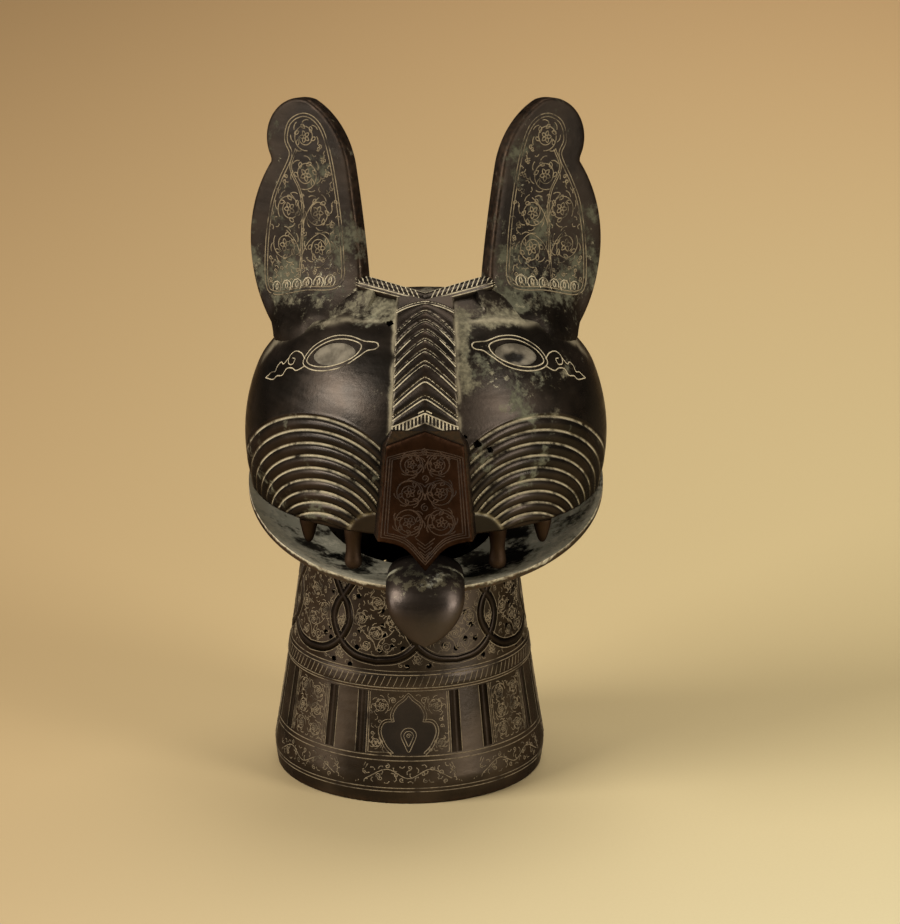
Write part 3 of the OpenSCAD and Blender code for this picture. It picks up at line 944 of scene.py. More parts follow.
class Workshop:
    """Materials, Geometry Nodes trees and the record of finished pieces."""

    def __init__(self) -> None:
        """Build the shared groups, materials and trees."""
        effects = EffectGroups()
        self.bronze = MetalFinish("head_bronze").build(effects)
        self.neck_bronze = MetalFinish("neck_bronze", dark=(0.03, 0.0238, 0.0185), warm=(0.06, 0.045, 0.032),
                                       rough=0.26, crust_amount=0.34, crust=(0.07, 0.062, 0.044), gloss=0.42,
                                       specks=0.18).build(effects)
        self.strap_bronze = MetalFinish("strap_bronze", dark=(0.016, 0.012, 0.009), warm=(0.034, 0.025, 0.018),
                                        rough=0.3, crust_amount=0.1, gloss=0.38, specks=0.1).build(effects)
        self.ear_bronze = MetalFinish("ear_bronze", dark=(0.0135, 0.011, 0.009), warm=(0.031, 0.0235, 0.0175),
                                      rough=0.36, crust_amount=0.46, crust=(0.1, 0.1, 0.068)).build(effects)
        # Partly painted light: the jaw's patina, corrosion and film are much paler than elsewhere, partly its real pale
        # corrosion and partly standing in for light that the head's shadow keeps off it.
        self.jaw_bronze_painted_light = MetalFinish("jaw_bronze_painted_light", dark=(0.036, 0.033, 0.026), warm=(0.075, 0.064, 0.046),
                                      rough=0.42, crust_amount=0.6, crust=(0.5, 0.475, 0.355),
                                      film=(0.74, 0.68, 0.51)).build(effects)
        self.tongue_bronze = MetalFinish("tongue_bronze", dark=(0.045, 0.037, 0.032), warm=(0.06, 0.046, 0.037),
                                         rough=0.24, crust_amount=0.2, crust=(0.2, 0.205, 0.165), gloss=0.6,
                                         specks=0.34).build(effects)
        self.worn = MetalFinish("hinge_bronze", dark=(0.05, 0.033, 0.02), warm=(0.09, 0.06, 0.035),
                                rough=0.4).build(effects)
        self.soot = MetalFinish("sooty_bronze", dark=(0.010, 0.009, 0.008), warm=(0.03, 0.022, 0.015), metallic=0.1,
                                rough=0.7, crust=(0.09, 0.085, 0.075), crust_amount=0.3).build(effects)
        self.copper = MetalFinish("nose_copper", dark=(0.012, 0.0055, 0.003), warm=(0.03, 0.0135, 0.007),
                                  rough=0.42, crust_amount=0.08, rub=(0.07, 0.034, 0.018), gloss=0.14,
                                  specks=0.12).build(effects)
        self.fang_copper = MetalFinish("fang_copper", dark=(0.02, 0.0115, 0.007), warm=(0.048, 0.03, 0.0185),
                                       rough=0.42, crust_amount=0.34, crust=(0.08, 0.066, 0.046), gloss=0.2,
                                       specks=0.2).build(effects)
        self.line = LineFinish("lime_line").build(effects)
        self.faint_line = LineFinish("faint_line", lime=(0.235, 0.185, 0.116), bare=(0.025, 0.018, 0.0115),
                                     gone=0.44).build(effects)
        self.ear_line = LineFinish("ear_line", lime=(0.31, 0.25, 0.155), bare=(0.03, 0.023, 0.015),
                                   gone=0.45).build(effects)
        self.copper_line = LineFinish("copper_line", lime=(0.052, 0.029, 0.016), bare=(0.016, 0.008, 0.0045),
                                      gone=0.48).build(effects)
        self.stone = StoneFinish("eye_stone").build(effects)
        self.line_tree = self._line_tree()
        self.stud_tree = self._stud_tree()
        self.pieces: list[str] = []

    @staticmethod
    def _tree(name: str, sizes: list[str]) -> tuple[Tree, Node, Socket]:
        """Start a Geometry Nodes tree with a geometry, named sizes and a material.

        Args:
            name: Its name.
            sizes: Names of its sizes.

        Returns:
            The tree, its input node and the surface normal.
        """
        tree = bpy.data.node_groups.new(name, "GeometryNodeTree")
        tree.interface.new_socket("Geometry", in_out="INPUT", socket_type="NodeSocketGeometry")
        for key in sizes:
            tree.interface.new_socket(key, in_out="INPUT", socket_type="NodeSocketFloat")
        tree.interface.new_socket("Material", in_out="INPUT", socket_type="NodeSocketMaterial")
        tree.interface.new_socket("Geometry", in_out="OUTPUT", socket_type="NodeSocketGeometry")
        given = tree.nodes.new("NodeGroupInput")
        normal = add_node(tree, "GeometryNodeInputNamedAttribute", {"Name": "surf_normal"},
                          data_type="FLOAT_VECTOR").outputs[0]
        return tree, given, normal

    @staticmethod
    def _end(tree: Tree, geometry: Socket, given: Node) -> None:
        """Realize the instances, set the material and put the result out.

        Args:
            tree: Tree that it goes into.
            geometry: What has been made.
            given: Input node of the tree.
        """
        real = add_node(tree, "GeometryNodeRealizeInstances", {"Geometry": geometry})
        dressed = add_node(tree, "GeometryNodeSetMaterial", {"Geometry": real.outputs[0],
                                                             "Material": given.outputs["Material"]})
        out = tree.nodes.new("NodeGroupOutput")
        tree.links.new(dressed.outputs[0], out.inputs[0])

    def _line_tree(self) -> Tree:
        """Tree that sweeps a low ridge of lime along engraved paths on a surface.

        Returns:
            The tree.
        """
        tree, given, normal = self._tree("engraved_line", ["Half Width", "Height"])
        curve = add_node(tree, "GeometryNodeMeshToCurve", {"Mesh": given.outputs["Geometry"]})
        turned = add_node(tree, "GeometryNodeSetCurveNormal", {"Curve": curve.outputs[0], "Normal": normal},
                          mode="FREE")
        section = add_node(tree, "GeometryNodeCurvePrimitiveCircle", {"Resolution": 4, "Radius": 1.0})
        size = add_node(tree, "ShaderNodeCombineXYZ", {"X": given.outputs["Height"],
                                                       "Y": given.outputs["Half Width"], "Z": 1.0})
        flat = add_node(tree, "GeometryNodeTransform", {"Geometry": section.outputs[0], "Scale": size.outputs[0]})
        swept = add_node(tree, "GeometryNodeCurveToMesh", {"Curve": turned.outputs[0],
                                                           "Profile Curve": flat.outputs[0], "Fill Caps": True})
        self._end(tree, swept.outputs[0], given)
        return tree

    def _stud_tree(self) -> Tree:
        """Tree that stands a short round stud on each point, along the normal there.

        Returns:
            The tree.
        """
        tree, given, normal = self._tree("stud_on_points", ["Radius", "Depth"])
        stud = add_node(tree, "GeometryNodeMeshCylinder", {"Vertices": 14, "Radius": given.outputs["Radius"],
                                                           "Depth": given.outputs["Depth"]})
        turn = add_node(tree, "FunctionNodeAlignRotationToVector", {"Vector": normal}, axis="Z")
        placed = add_node(tree, "GeometryNodeInstanceOnPoints",
                          {"Points": given.outputs["Geometry"], "Instance": stud.outputs["Mesh"],
                           "Rotation": turn.outputs[0]})
        self._end(tree, placed.outputs[0], given)
        return tree

    @staticmethod
    def grow(name: str, points: Array, normals: Array, edges: list, tree: Tree,
             values: dict) -> Piece:
        """Run a Geometry Nodes tree on points or paths and keep its result as a plain mesh.

        Args:
            name: Name of the piece.
            points: Places in millimetres.
            normals: Surface normals at the places.
            edges: Pairs of point numbers that make the paths.
            tree: The tree.
            values: Inputs of the tree by name.

        Returns:
            The finished object.
        """
        mesh = bpy.data.meshes.new(name)
        mesh.from_pydata((points * MM).tolist(), edges, [])
        layer = mesh.attributes.new("surf_normal", "FLOAT_VECTOR", "POINT")
        layer.data.foreach_set("vector", normals.astype(np.float32).ravel())
        obj = bpy.data.objects.new(name, mesh)
        bpy.context.scene.collection.objects.link(obj)
        mod = obj.modifiers.new(name, "NODES")
        mod.node_group = tree
        for item in tree.interface.items_tree:
            if item.in_out == "INPUT" and item.name in values:
                mod[item.identifier] = values[item.name]
        bake_modifiers(obj)
        return obj

    def engrave(self, name: str, patch: "Patch", paths: list[Path], body: Body, slot: Slot,
                material: Material | None = None, width: float = 0.5,
                height: float = 0.06) -> Piece:
        """Draw flat paths as filled engraved lines on a patch of the surface.

        Args:
            name: Name of the piece.
            patch: Map from the flat plan to the surface.
            paths: Paths on the plan.
            body: Body that carries the lines.
            slot: Material slot of the record.
            material: Finish of the lines; the pale lime unless given.
            width: Width of a line in millimetres.
            height: How far the fill stands over the surface.

        Returns:
            The finished piece.
        """
        points, normals, edges, count = [], [], [], 0
        for path in paths:
            closed = len(path) > 3 and np.linalg.norm(path[0] - path[-1]) < 1e-6
            plan = path[:-1] if closed else path
            keep = np.r_[True, np.linalg.norm(np.diff(plan, axis=0), axis=1) > 1e-4]
            plan = plan[keep]
            if len(plan) < 2:
                continue
            place, normal = patch.at(plan[:, 0], plan[:, 1]), patch.normal(plan[:, 0], plan[:, 1])
            points.append(place)
            normals.append(normal)
            last = len(plan) if closed else len(plan) - 1
            edges += [(count + i, count + (i + 1) % len(plan)) for i in range(last)]
            count += len(plan)
        obj = self.grow(name, np.vstack(points), np.vstack(normals), edges, self.line_tree,
                        {"Half Width": width / 2 * MM, "Height": height * MM,
                         "Material": material or self.line})
        return self.keep(obj, body, slot)

    def keep(self, obj: Piece, body: Body, slot: Slot,
             material: Material | None = None, node: str | None = None) -> Piece:
        """Finish a piece: its material, its body and the node it stands for.

        Args:
            obj: The piece.
            body: Body that it moves with.
            slot: Material slot of the record; not used.
            material: Finish, where the mesh has none yet.
            node: CAD node that it replaces.

        Returns:
            The same piece.
        """
        if material is not None:
            obj.data.materials.clear()
            obj.data.materials.append(material)
        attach(obj, body.value)
        if node:
            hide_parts(node)
        self.pieces.append(obj.name)
        LOG.info("%s on %s, %d faces", obj.name, body.value, len(obj.data.polygons))
        return obj

    def dress(self, node: str, material: Material) -> None:
        """Give a CAD node that stays in view its procedural finish.

        Args:
            node: Name of the CAD node.
            material: The finish.
        """
        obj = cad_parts[node]
        if not obj.material_slots:
            obj.data.materials.append(material)
        for place in obj.material_slots:
            place.material = material
        LOG.info("%s keeps its own solid", node)


# Surfaces that ornament lies on

class Patch:
    """Map from a flat plan in millimetres to a surface of the object."""

    def at(self, a: Array, b: Array) -> Array:
        """Places on the surface for plan coordinates."""
        raise NotImplementedError

    def normal(self, a: Array, b: Array) -> Array:
        """Outward unit normals, from small steps along the plan.

        Args:
            a: First coordinates on the plan.
            b: Second coordinates on the plan.

        Returns:
            One normal for each place.
        """
        small = 0.05
        way = np.cross(self.at(a + small, b) - self.at(a - small, b), self.at(a, b + small) - self.at(a, b - small))
        return way / np.maximum(np.linalg.norm(way, axis=1, keepdims=True), 1e-12)


@dataclass(frozen=True)
class EarStand:
    """Where the ears stand: the inner foot of the right one, and the turn and lean of its front in degrees."""

    x: float = 19.0
    y: float = 25.03
    z: float = 176.0
    turn: float = 35.0
    lean: float = 8.0

    def foot(self, side: Side) -> Array:
        """Inner foot of an ear."""
        return np.array([side.value * self.x, -self.y, self.z])

    def axes(self, side: Side) -> tuple[Array, Array, Array]:
        """Directions outwards along an ear, up it and out of its front.

        Args:
            side: Side of the head.

        Returns:
            The three directions.
        """
        s = side.value
        ct, st = math.cos(math.radians(self.turn)), math.sin(math.radians(self.turn))
        cl, sl = math.cos(math.radians(self.lean)), math.sin(math.radians(self.lean))
        return (np.array([s * ct, st, 0]), np.array([-s * sl * st, sl * ct, cl]),
                np.array([s * st * cl, -ct * cl, sl]))


EAR = EarStand()


@dataclass
class HeadForm:
    """Balls and planes that shape the head, in the head's own frame."""

    shift: float = 5.8
    ball: tuple = (0.0, -4.0, 120.5)
    ball_r: float = 61.4
    nape: tuple = (0.0, -66.57, 65.24)
    nape_r: float = 120.0
    dish: tuple = (0.0, -35.519, 187.729)
    dish_r: float = 109.0
    jaw_t: float = 2.0
    lip_z: float = 102.0
    wall: float = 3.2
    lip_t: float = 6.5
    reed_rise: float = 1.25
    reed_sink: float = 0.7
    reed_x: float = 33.4
    reed_z: float = 112.3
    reed_r2: float = 750.8
    # Square, slope and level of the equation whose root is the running number of a reed
    reed_fall: tuple = (2.05, 4.6, 98.64)
    wing_x: float = 15.7
    wing_z: float = 100.0
    wing_r: float = 10.2
    wing_end: float = 28.0
    wing_depth: float = 0.35
    blend: float = 3.0
    crease_depth: float = 0.9
    root_rise: float = 2.6
    root_reach: float = 9.0
    hammer: float = 0.1
    crease: tuple = ((0, 170.5), (15.7, 169.5), (25.9, 168.5), (37.2, 165.0), (50.8, 154.6), (60, 140))

    @property
    def centre(self) -> Array:
        """Middle of the ball."""
        return np.array(self.ball)

    @property
    def aside(self) -> Array:
        """Sideways set of the head from the axis of the neck."""
        return np.array([self.shift, 0, 0])

    def wing(self, x: Array, z: Array) -> Array:
        """Distance from the middle of the nearer wing of the nose."""
        return np.hypot(np.abs(x) - self.wing_x, z - self.wing_z)

    def reed_count(self, x: Array, z: Array) -> Array:
        """Running number of the cheek reed at x and z: arcs about a centre that sinks as they shrink.

        Args:
            x: Places across the head.
            z: Heights.

        Returns:
            One running number for each place.
        """
        dx, dz = np.abs(x) - self.reed_x, z - self.reed_z
        square, slope, level = self.reed_fall
        b = slope * dz + level
        c = dx ** 2 + dz ** 2 - self.reed_r2
        root = np.sqrt(np.maximum(b * b - 4 * square * c, 1.0))
        return (root - b) / (2 * square)

    def reed_share(self, x: Array, y: Array, z: Array) -> Array:
        """How fully the reeds are cut at a place, from 0 to 1.

        Args:
            x: Places across the head.
            y: Places from front to back.
            z: Heights.

        Returns:
            One share for each place.
        """
        count = self.reed_count(x, z)
        return (step(-0.45, -0.1, count) * (1 - step(8.5, 8.9, count)) * step(10.0, 10.8, self.wing(x, z))
                * step(12.4, 14.6, np.abs(x)) * (1 - step(-18, -10, y)) * step(102.3, 104.0, z))

    def crease_z(self, x: Array) -> Array:
        """Height of the crease between brow and ear root."""
        line = np.array(self.crease)
        return np.interp(np.abs(x), line[:, 0], line[:, 1])

    def relief(self, p: Array) -> Array:
        """Height of the worked surface over the plain ball at places of the ball.

        Args:
            p: Places on the ball.

        Returns:
            One height for each place.
        """
        x, y, z = p[:, 0], p[:, 1], p[:, 2]
        front = 1 - step(-12, 0, y)
        count = self.reed_count(x, z)
        share = self.reed_share(x, y, z)
        beat = count - np.floor(count)
        reed = 1 - np.abs(2 * beat ** 0.8 - 1) ** 2.2
        height = share * (self.reed_rise * reed - self.reed_sink)
        over = z - self.crease_z(x)
        height -= front * self.crease_depth * step(-0.4, 1.2, over) * (1 - step(3.0, 9.0, over))
        ahead = np.full_like(x, 99.0)
        for side in Side:
            along, _, out = EAR.axes(side)
            rel = p - EAR.foot(side)
            u = rel @ along
            ahead = np.where((u > -3) & (u < 42) & (x * side.value > 0), np.minimum(ahead, rel @ out), ahead)
        root = np.clip(1 - np.abs(ahead) / self.root_reach, 0, 1) ** 2
        height += self.root_rise * root * step(0.0, 3.0, over) * front
        groove = bell(self.wing(x, z) - self.wing_r, 0.6) * (y < -45) * (np.abs(x) < self.wing_end)
        return height - self.wing_depth * groove + self.hammer * wobble(p, 9.0)

    def reach(self, way: Array, inset: float = 0.0) -> Array:
        """Distance from the middle of the ball to the plain outer form drawn in by an inset, along unit ways.

        Args:
            way: Unit ways from the middle of the ball.
            inset: How far the form is drawn in.

        Returns:
            One distance for each way.
        """
        gap = self.centre - np.array(self.nape)
        b = way @ gap
        back = -b + np.sqrt(b * b - gap @ gap + (self.nape_r - inset) ** 2)
        front = np.full_like(back, self.ball_r - inset)
        d = np.abs(back - front)
        return np.minimum(front, back) - np.where(d < self.blend, (self.blend - d) ** 2 / (4 * self.blend), 0.0)

    def on_ball(self, x: Array, z: Array) -> Array:
        """Places on the front of the ball at x and z."""
        back = np.sqrt(np.maximum(self.ball_r ** 2 - x ** 2 - (z - self.ball[2]) ** 2, 1.0))
        return np.stack([x, self.ball[1] - back, z], -1)


HEAD = HeadForm()


@dataclass
class FacePatch(Patch):
    """Plan about a point of the face: a runs outwards from the middle line, b upwards."""

    side: Side
    x: float
    z: float
    tilt: float = 0.0
    lift: float = 0.02

    def at(self, a: Array, b: Array) -> Array:
        """Places on the ball of the face.

        Args:
            a: First coordinates on the plan.
            b: Second coordinates on the plan.

        Returns:
            The places.
        """
        sign = self.side.value
        centre = HEAD.on_ball(np.array(sign * self.x), np.array(self.z))
        out = (centre - HEAD.centre) / HEAD.ball_r
        across = np.array([-out[1], out[0], 0.0])
        across *= np.sign(across[0]) * sign / np.linalg.norm(across)
        up = np.cross(out, across)
        up *= np.sign(up[2])
        ct, st = math.cos(math.radians(self.tilt)), math.sin(math.radians(self.tilt))
        a2, b2 = a * ct - b * st, a * st + b * ct
        way = unit(out * HEAD.ball_r + a2[:, None] * across + b2[:, None] * up)
        place = HEAD.centre + HEAD.ball_r * way
        rise = HEAD.relief(place) + self.lift
        return place + rise[:, None] * way + HEAD.aside

    def normal(self, a: Array, b: Array) -> Array:
        """Normals of the ball."""
        return unit(self.at(a, b) - HEAD.centre - HEAD.aside)


# The neck

@dataclass
class NeckPatch(Patch):
    """Plan of a band of the neck: a runs round it from the front, b is the height."""

    neck: "NeckCasting"
    reference_r: float
    lift: float = 0.02

    def at(self, a: Array, b: Array) -> Array:
        """Places on the outside of the neck."""
        return around(self.neck.radius(b) + self.lift, a / self.reference_r, b)


@dataclass
class NeckCasting:
    """Flaring neck with its smoke holes and bands of ornament."""

    shop: Workshop
    foot_r: float = 45.5
    foot_swell: float = 1.0
    foot_swell_z: float = 9.0
    top_r: float = 34.6
    top_z: float = 95.0
    sag: float = 0.6
    wall: float = 3.0
    rebate_rim: float = 1.8
    trefoil: tuple = ((18.2, 5.0), (20.8, 7.4), (25.2, 9.3), (28.4, 8.2), (29.0, 4.9), (31.4, 5.3), (34.4, 3.8),
                      (36.4, 1.3), (38.0, 0.0))
    trefoil_cells: tuple = (0, 2, 5)
    trefoil_knee: int = 4
    panel_z: float = 28.0
    panel_half: float = 13.6
    panel_low: float = 18.2
    panel_high: float = 38.8
    panel_narrow: float = 0.62
    base_t: float = 2.4
    seat_gap: float = 0.3
    hole_r: float = 0.95
    repeats: int = 7
    festoons: int = 9
    rope_low: float = 40.4
    rope_high: float = 45.2
    rope_strokes: int = 118
    border_z: tuple = (4.7, 6.0, 15.6, 17.2, 39.6, 46.2)
    field_turns: tuple = (0.0, 103.0, 206.0)
    field_holes: tuple = ((-42.4, 70.5), (-26.5, 70.8), (-33.3, 66.9), (-41.2, 63.4), (-23.1, 63.6), (-42.4, 58.0),
                          (-24.9, 59.2), (-45.5, 55.7), (-41.8, 54.6), (-26.1, 53.2), (-20.8, 55.1), (-14.0, 52.9),
                          (-8.1, 54.6), (-2.7, 54.0), (-13.6, 66.7), (-12.9, 61.5), (-12.2, 58.5), (-38.7, 47.7),
                          (-29.3, 47.0), (-0.7, 47.8), (9.8, 48.0), (17.6, 54.7), (23.8, 53.2), (38.7, 49.1),
                          (29.9, 64.9), (33.0, 60.4), (29.0, 56.0), (34.7, 55.3), (41.0, 67.6), (-34.0, 75.5),
                          (-19.0, 75.0), (24.0, 73.5), (37.0, 74.0))
    rope_rise: float = 0.28
    foot_ease: float = 0.3
    top_ease: float = 0.25
    uneven: float = 0.0016
    strap_z: float = 60.0
    strap_turn: float = -16.0
    strap_half: float = 1.65
    columns: int = 420
    straight_z: float = 76.0

    def radius(self, z: Array) -> Array:
        """Outer radius of the neck at heights.

        Args:
            z: Heights.

        Returns:
            The radii.
        """
        z = np.asarray(z, float)
        t = (z - self.foot_swell_z) / (self.top_z - self.foot_swell_z)
        wide = self.foot_r + self.foot_swell
        low = self.foot_r + self.foot_swell * np.sin(math.pi / 2 * np.clip(z / self.foot_swell_z, 0, 1))
        high = wide + t * (self.top_r - wide) - 4 * self.sag * np.maximum(t * (1 - t), 0)
        return np.where(z < self.foot_swell_z, low, high)

    def seat_z(self, angle: Array, inset: float) -> Array:
        """Height of the seat of the head round the neck, at an inset from its outside.

        Args:
            angle: Angles from the front.
            inset: Distance in from the outside.

        Returns:
            One height for each angle.
        """
        z = np.full_like(angle, 85.0)
        centre = np.array(HEAD.dish) + HEAD.aside
        reach = HEAD.dish_r + self.seat_gap
        for _ in range(12):
            r = self.radius(z) - inset
            flat = (r * np.sin(angle) - centre[0]) ** 2 + (-r * np.cos(angle) - centre[1]) ** 2
            z = centre[2] - np.sqrt(reach ** 2 - flat)
        return z

    def casting(self) -> Piece:
        """Make the wall of the neck with its drilled holes.

        Returns:
            The finished piece.
        """
        angle = np.linspace(0, 2 * math.pi, self.columns, endpoint=False)
        top = self.seat_z(angle, 0.0)
        low_rows = np.r_[0.0, 0.35, np.linspace(0.9, self.straight_z, 96)]
        high_rows = np.linspace(0, 1, 22)[1:]
        z = np.vstack([np.tile(low_rows[:, None], (1, self.columns)),
                       self.straight_z + high_rows[:, None] * (top - self.straight_z)[None]])
        r = self.radius(z)
        band = step(self.rope_low, self.rope_low + 0.7, z) * (1 - step(self.rope_high - 0.7, self.rope_high, z))
        r = r + self.rope_rise * band - self.foot_ease * (z < 0.2)
        r = np.where(z >= top[None] - 1e-6, r - self.top_ease, r)
        outer = around(r, angle, z)
        outer[..., :2] *= 1 + self.uneven * wobble(outer.reshape(-1, 3), 17).reshape(r.shape)[..., None]
        inner_top = self.seat_z(angle, self.wall)
        share = np.linspace(1, 0, 10)[:, None]
        iz = self.base_t + share * (inner_top - self.base_t)[None]
        ir = self.radius(iz) - self.wall
        inner = around(ir, angle, iz)
        ledge = np.stack([around(self.foot_r - self.rebate_rim, angle, h) for h in (self.base_t, 0.0)])
        bag = MeshBag()
        numbers = bag.grid(np.vstack([outer, inner, ledge]), wrap=True)
        bag.quads(numbers[-1], numbers[0], wrap=True)
        obj = bag.build("neck_casting")
        cut(obj, self._drills())
        place = positions(obj)
        z, flat = place[:, 2], np.hypot(place[:, 0], place[:, 1])
        outside = flat > self.radius(z) - 1.0
        turn = np.degrees(np.arctan2(place[:, 0], -place[:, 1]))
        edge = bell(z - 0.6, 1.2) + bell(z - self.rope_low, 0.5)
        field, ground = self._panel_fields(np.radians(turn), z)
        # Painted shade: the inside of the neck is painted dark; outside, the same field darkens the trefoil panels,
        # which are a pattern of the piece.
        paint(obj, lime=np.zeros(len(z)), rub=np.clip(edge, 0, 1) * 0.5 * outside,
              crust=(0.25 * bell(turn + 40, 30) * step(60, 80, z) + 0.2 * ground) * outside,
              pit=np.where(outside, 0.62 * field, 0.6))
        return self.shop.keep(obj, Body.NECK, Slot.BRONZE, self.shop.neck_bronze, "neck_sleeve")

    def _panel_fields(self, angle: Array, z: Array) -> tuple[Array, Array]:
        """Shares of each place that lie in a dark trefoil and in the worked ground round it.

        Args:
            angle: Angles from the front.
            z: Heights.

        Returns:
            The two shares.
        """
        r = float(self.radius(self.panel_z))
        heights, halves = np.array(self.trefoil).T
        half = np.interp(z, heights, halves, left=-9.0, right=-9.0)
        field, ground = np.zeros_like(z), np.zeros_like(z)
        for k in self.trefoil_cells:
            turn = angle - 2 * math.pi * k / self.repeats
            x = np.abs(np.arctan2(np.sin(turn), np.cos(turn))) * r
            field = np.maximum(field, step(-0.5, 0.5, half - x))
            ground = np.maximum(ground, (x < 13.4) * (half > -9.0))
        return field, ground * (1 - field)

    def _hole_plan(self) -> Array:
        """Angles in degrees and heights of the smoke holes, as one listed field that is repeated.

        Returns:
            One row for each hole.
        """
        last = self.field_turns[-1]
        plan = [(a + t, h) for t in self.field_turns for a, h in self.field_holes if not (t == last and a > 38)]
        return np.array([p for p in plan if not 145 < p[0] % 360 < 220 or p[1] < 60])

    def _drills(self) -> Piece:
        """Drills that pierce the wall at each smoke hole.

        Returns:
            The drills as one cutter.
        """
        plan = self._hole_plan()
        angle, z = np.radians(plan[:, 0]), plan[:, 1]
        points = around(self.radius(z) - self.wall / 2, angle, z)
        return self.shop.grow("drills", points, around(1.0, angle, 0.0), [], self.shop.stud_tree,
                              {"Radius": self.hole_r * MM, "Depth": 2.4 * self.wall * MM,
                               "Material": self.shop.neck_bronze})

    def rings(self) -> None:
        """Lines that run round the neck, and the strokes of the rope band."""
        r = float(self.radius(self.rope_low))
        turn = 2 * math.pi * r
        run = np.linspace(0, turn, 241)
        border = [np.stack([run, np.full_like(run, h)], 1) for h in self.border_z]
        rope = [np.stack([run, np.full_like(run, h)], 1) for h in (self.rope_low + 0.2, self.rope_high - 0.2)]
        for k in range(self.rope_strokes):
            a = turn * k / self.rope_strokes
            rope.append(np.array([[a - 0.75, self.rope_low + 0.75], [a - 0.1, self.rope_low + 2.0],
                                  [a + 0.75, self.rope_high - 0.75]]))
        for name, lift, paths in (("neck_rings", 0.3, rope), ("neck_border_lines", 0.02, border)):
            self.shop.engrave(name, NeckPatch(self, r, lift), paths, Body.NECK, Slot.BRONZE, self.shop.faint_line, 0.4)

    def _under_seat(self, paths: list[Path], r: float, margin: float) -> list[Path]:
        """Stretches of the paths that stay a margin under the seat of the head.

        Args:
            paths: The paths.
            r: Radius that the plan is drawn for.
            margin: Distance to keep.

        Returns:
            The stretches that are left.
        """
        kept: list[Path] = []
        for path in paths:
            free = path[:, 1] < self.seat_z(path[:, 0] / r, 0.0) - margin
            for run in np.split(np.arange(len(path)), np.flatnonzero(np.diff(free.astype(int))) + 1):
                if free[run[0]] and len(run) > 1:
                    kept.append(path[run])
        return kept

    def upper_band(self) -> None:
        """Polished straps in crossing festoons over a ground of vine scrolls."""
        r = float(self.radius(self.strap_z))
        cell = 2 * math.pi * r / self.festoons
        start = math.radians(self.strap_turn) * r
        right = smooth_path([(0, 49.4), (0.25 * cell, 50.4), (0.43 * cell, 53.2), (0.56 * cell, 57.6),
                             (0.62 * cell, 62.4), (0.58 * cell, 67.0), (0.48 * cell, 70.6), (0.36 * cell, 75.6)], 0.8)
        strap = np.vstack([(right * np.array([-1, 1]))[:0:-1], right])
        near = [strap, strap - np.array([cell, 0]), strap + np.array([cell, 0])]
        coils = [(0.0, 58.6, 3.0), (-0.21 * cell, 63.2, 2.8), (0.21 * cell, 63.2, 2.8), (0.0, 69.4, 2.9),
                 (0.5 * cell, 61.6, 1.7), (0.5 * cell, 50.4, 1.5), (0.5 * cell, 73.6, 2.2)]
        fill: list[Path] = []
        for number, (x, z, radius) in enumerate(coils):
            hand = -1 if x < 0 or number % 3 == 0 else 1
            fill += vine_scroll((x, z), radius, 250 + 60 * number, hand)
        for sign in (-1, 1):
            fill += [smooth_path([(0, 53.0), (sign * 0.05 * cell, 56.4), (sign * 0.16 * cell, 58.4),
                                  (sign * 0.22 * cell, 60.4)], 0.7),
                     spiral((sign * 0.13 * cell, 54.4), 2.0, 90 - 90 * sign, 1.8, -sign)]
        outline = np.array([[-0.5 * cell, 47.0], [0.5 * cell, 47.0], [0.5 * cell, 80.0], [-0.5 * cell, 80.0],
                            [-0.5 * cell, 47.0]])
        fill += fill_ground(outline, [(x, z, 1.1 * radius) for x, z, radius in coils], near, 2.3, 2.3)
        bands, lines, ground = [], [], []
        for k in range(self.festoons):
            by = (start + k * cell, 0)
            bands += moved([strap], by)
            lines += moved([offset(strap, self.strap_half), offset(strap, -self.strap_half)], by)
            ground += moved(fill, by)
        bands, lines, ground = (self._under_seat(paths, r, margin)
                                for paths, margin in ((bands, 1.9), (lines, 0.6), (ground, 0.6)))
        patch = NeckPatch(self, r)
        self.shop.engrave("neck_straps", patch, bands, Body.NECK, Slot.BRONZE, self.shop.strap_bronze, 3.1, 0.13)
        self.shop.engrave("neck_strap_lines", patch, lines, Body.NECK, Slot.BRONZE, self.shop.faint_line, 0.36)
        self.shop.engrave("neck_vines", patch, ground, Body.NECK, Slot.BRONZE, self.shop.faint_line, 0.32)

    def _trefoil_panel(self, box: Path) -> list[Path]:
        """Paths of a panel with a trefoil, a drop in its middle and vines in its corners.

        Args:
            box: Frame of the panel.

        Returns:
            The paths.
        """
        low, knee = self.panel_low, self.trefoil_knee
        points = [(0.0 - reach, z) for z, reach in self.trefoil]
        left = np.vstack([smooth_path(points[:knee + 1], 0.5), smooth_path(points[knee:], 0.5)[1:]])
        arch = np.vstack([left, (left * np.array([-1, 1]))[::-1][1:]])
        drop = smooth_path([(0, 18.6), (-1.4, 21.2), (-2.6, 24.4), (-1.6, 26.4), (0, 26.9), (1.6, 26.4), (2.6, 24.4),
                            (1.4, 21.2)], 0.5, True)
        corner = smooth_path([(-5.0, low), (-8.0, low + 0.2), (-11.0, low), (-self.panel_half + 0.6, low)], 0.6)
        paths = [box[2:5], np.array([box[0], [-5.0, low]]), np.array([[5.0, low], box[1]]), box[1:3], arch,
                 offset(arch, 0.9), drop, (drop - np.array([0, 23.4])) * 0.62 + np.array([0, 23.6]),
                 spiral((0, 24.2), 0.9, 0, 1.4), corner]
        for flip in (False, True):
            paths += moved(vine_scroll((-9.6, 34.2), 2.9, 300, 1) + vine_scroll((-11.0, 21.6), 1.9, 60, -1)
                           + [spiral((-5.4, 36.2), 1.4, 200, 1.4, -1)], flip=flip)
        taken = [(0, 32.0, 5.0), (-5.0, 25.4, 4.6), (5.0, 25.4, 4.6), (0, 21.0, 5.4)]
        taken += [(sign * 9.6, 34.2, 3.2) for sign in (-1, 1)] + [(sign * 11.0, 21.6, 2.1) for sign in (-1, 1)]
        return paths + fill_ground(box, taken, [], 2.2)

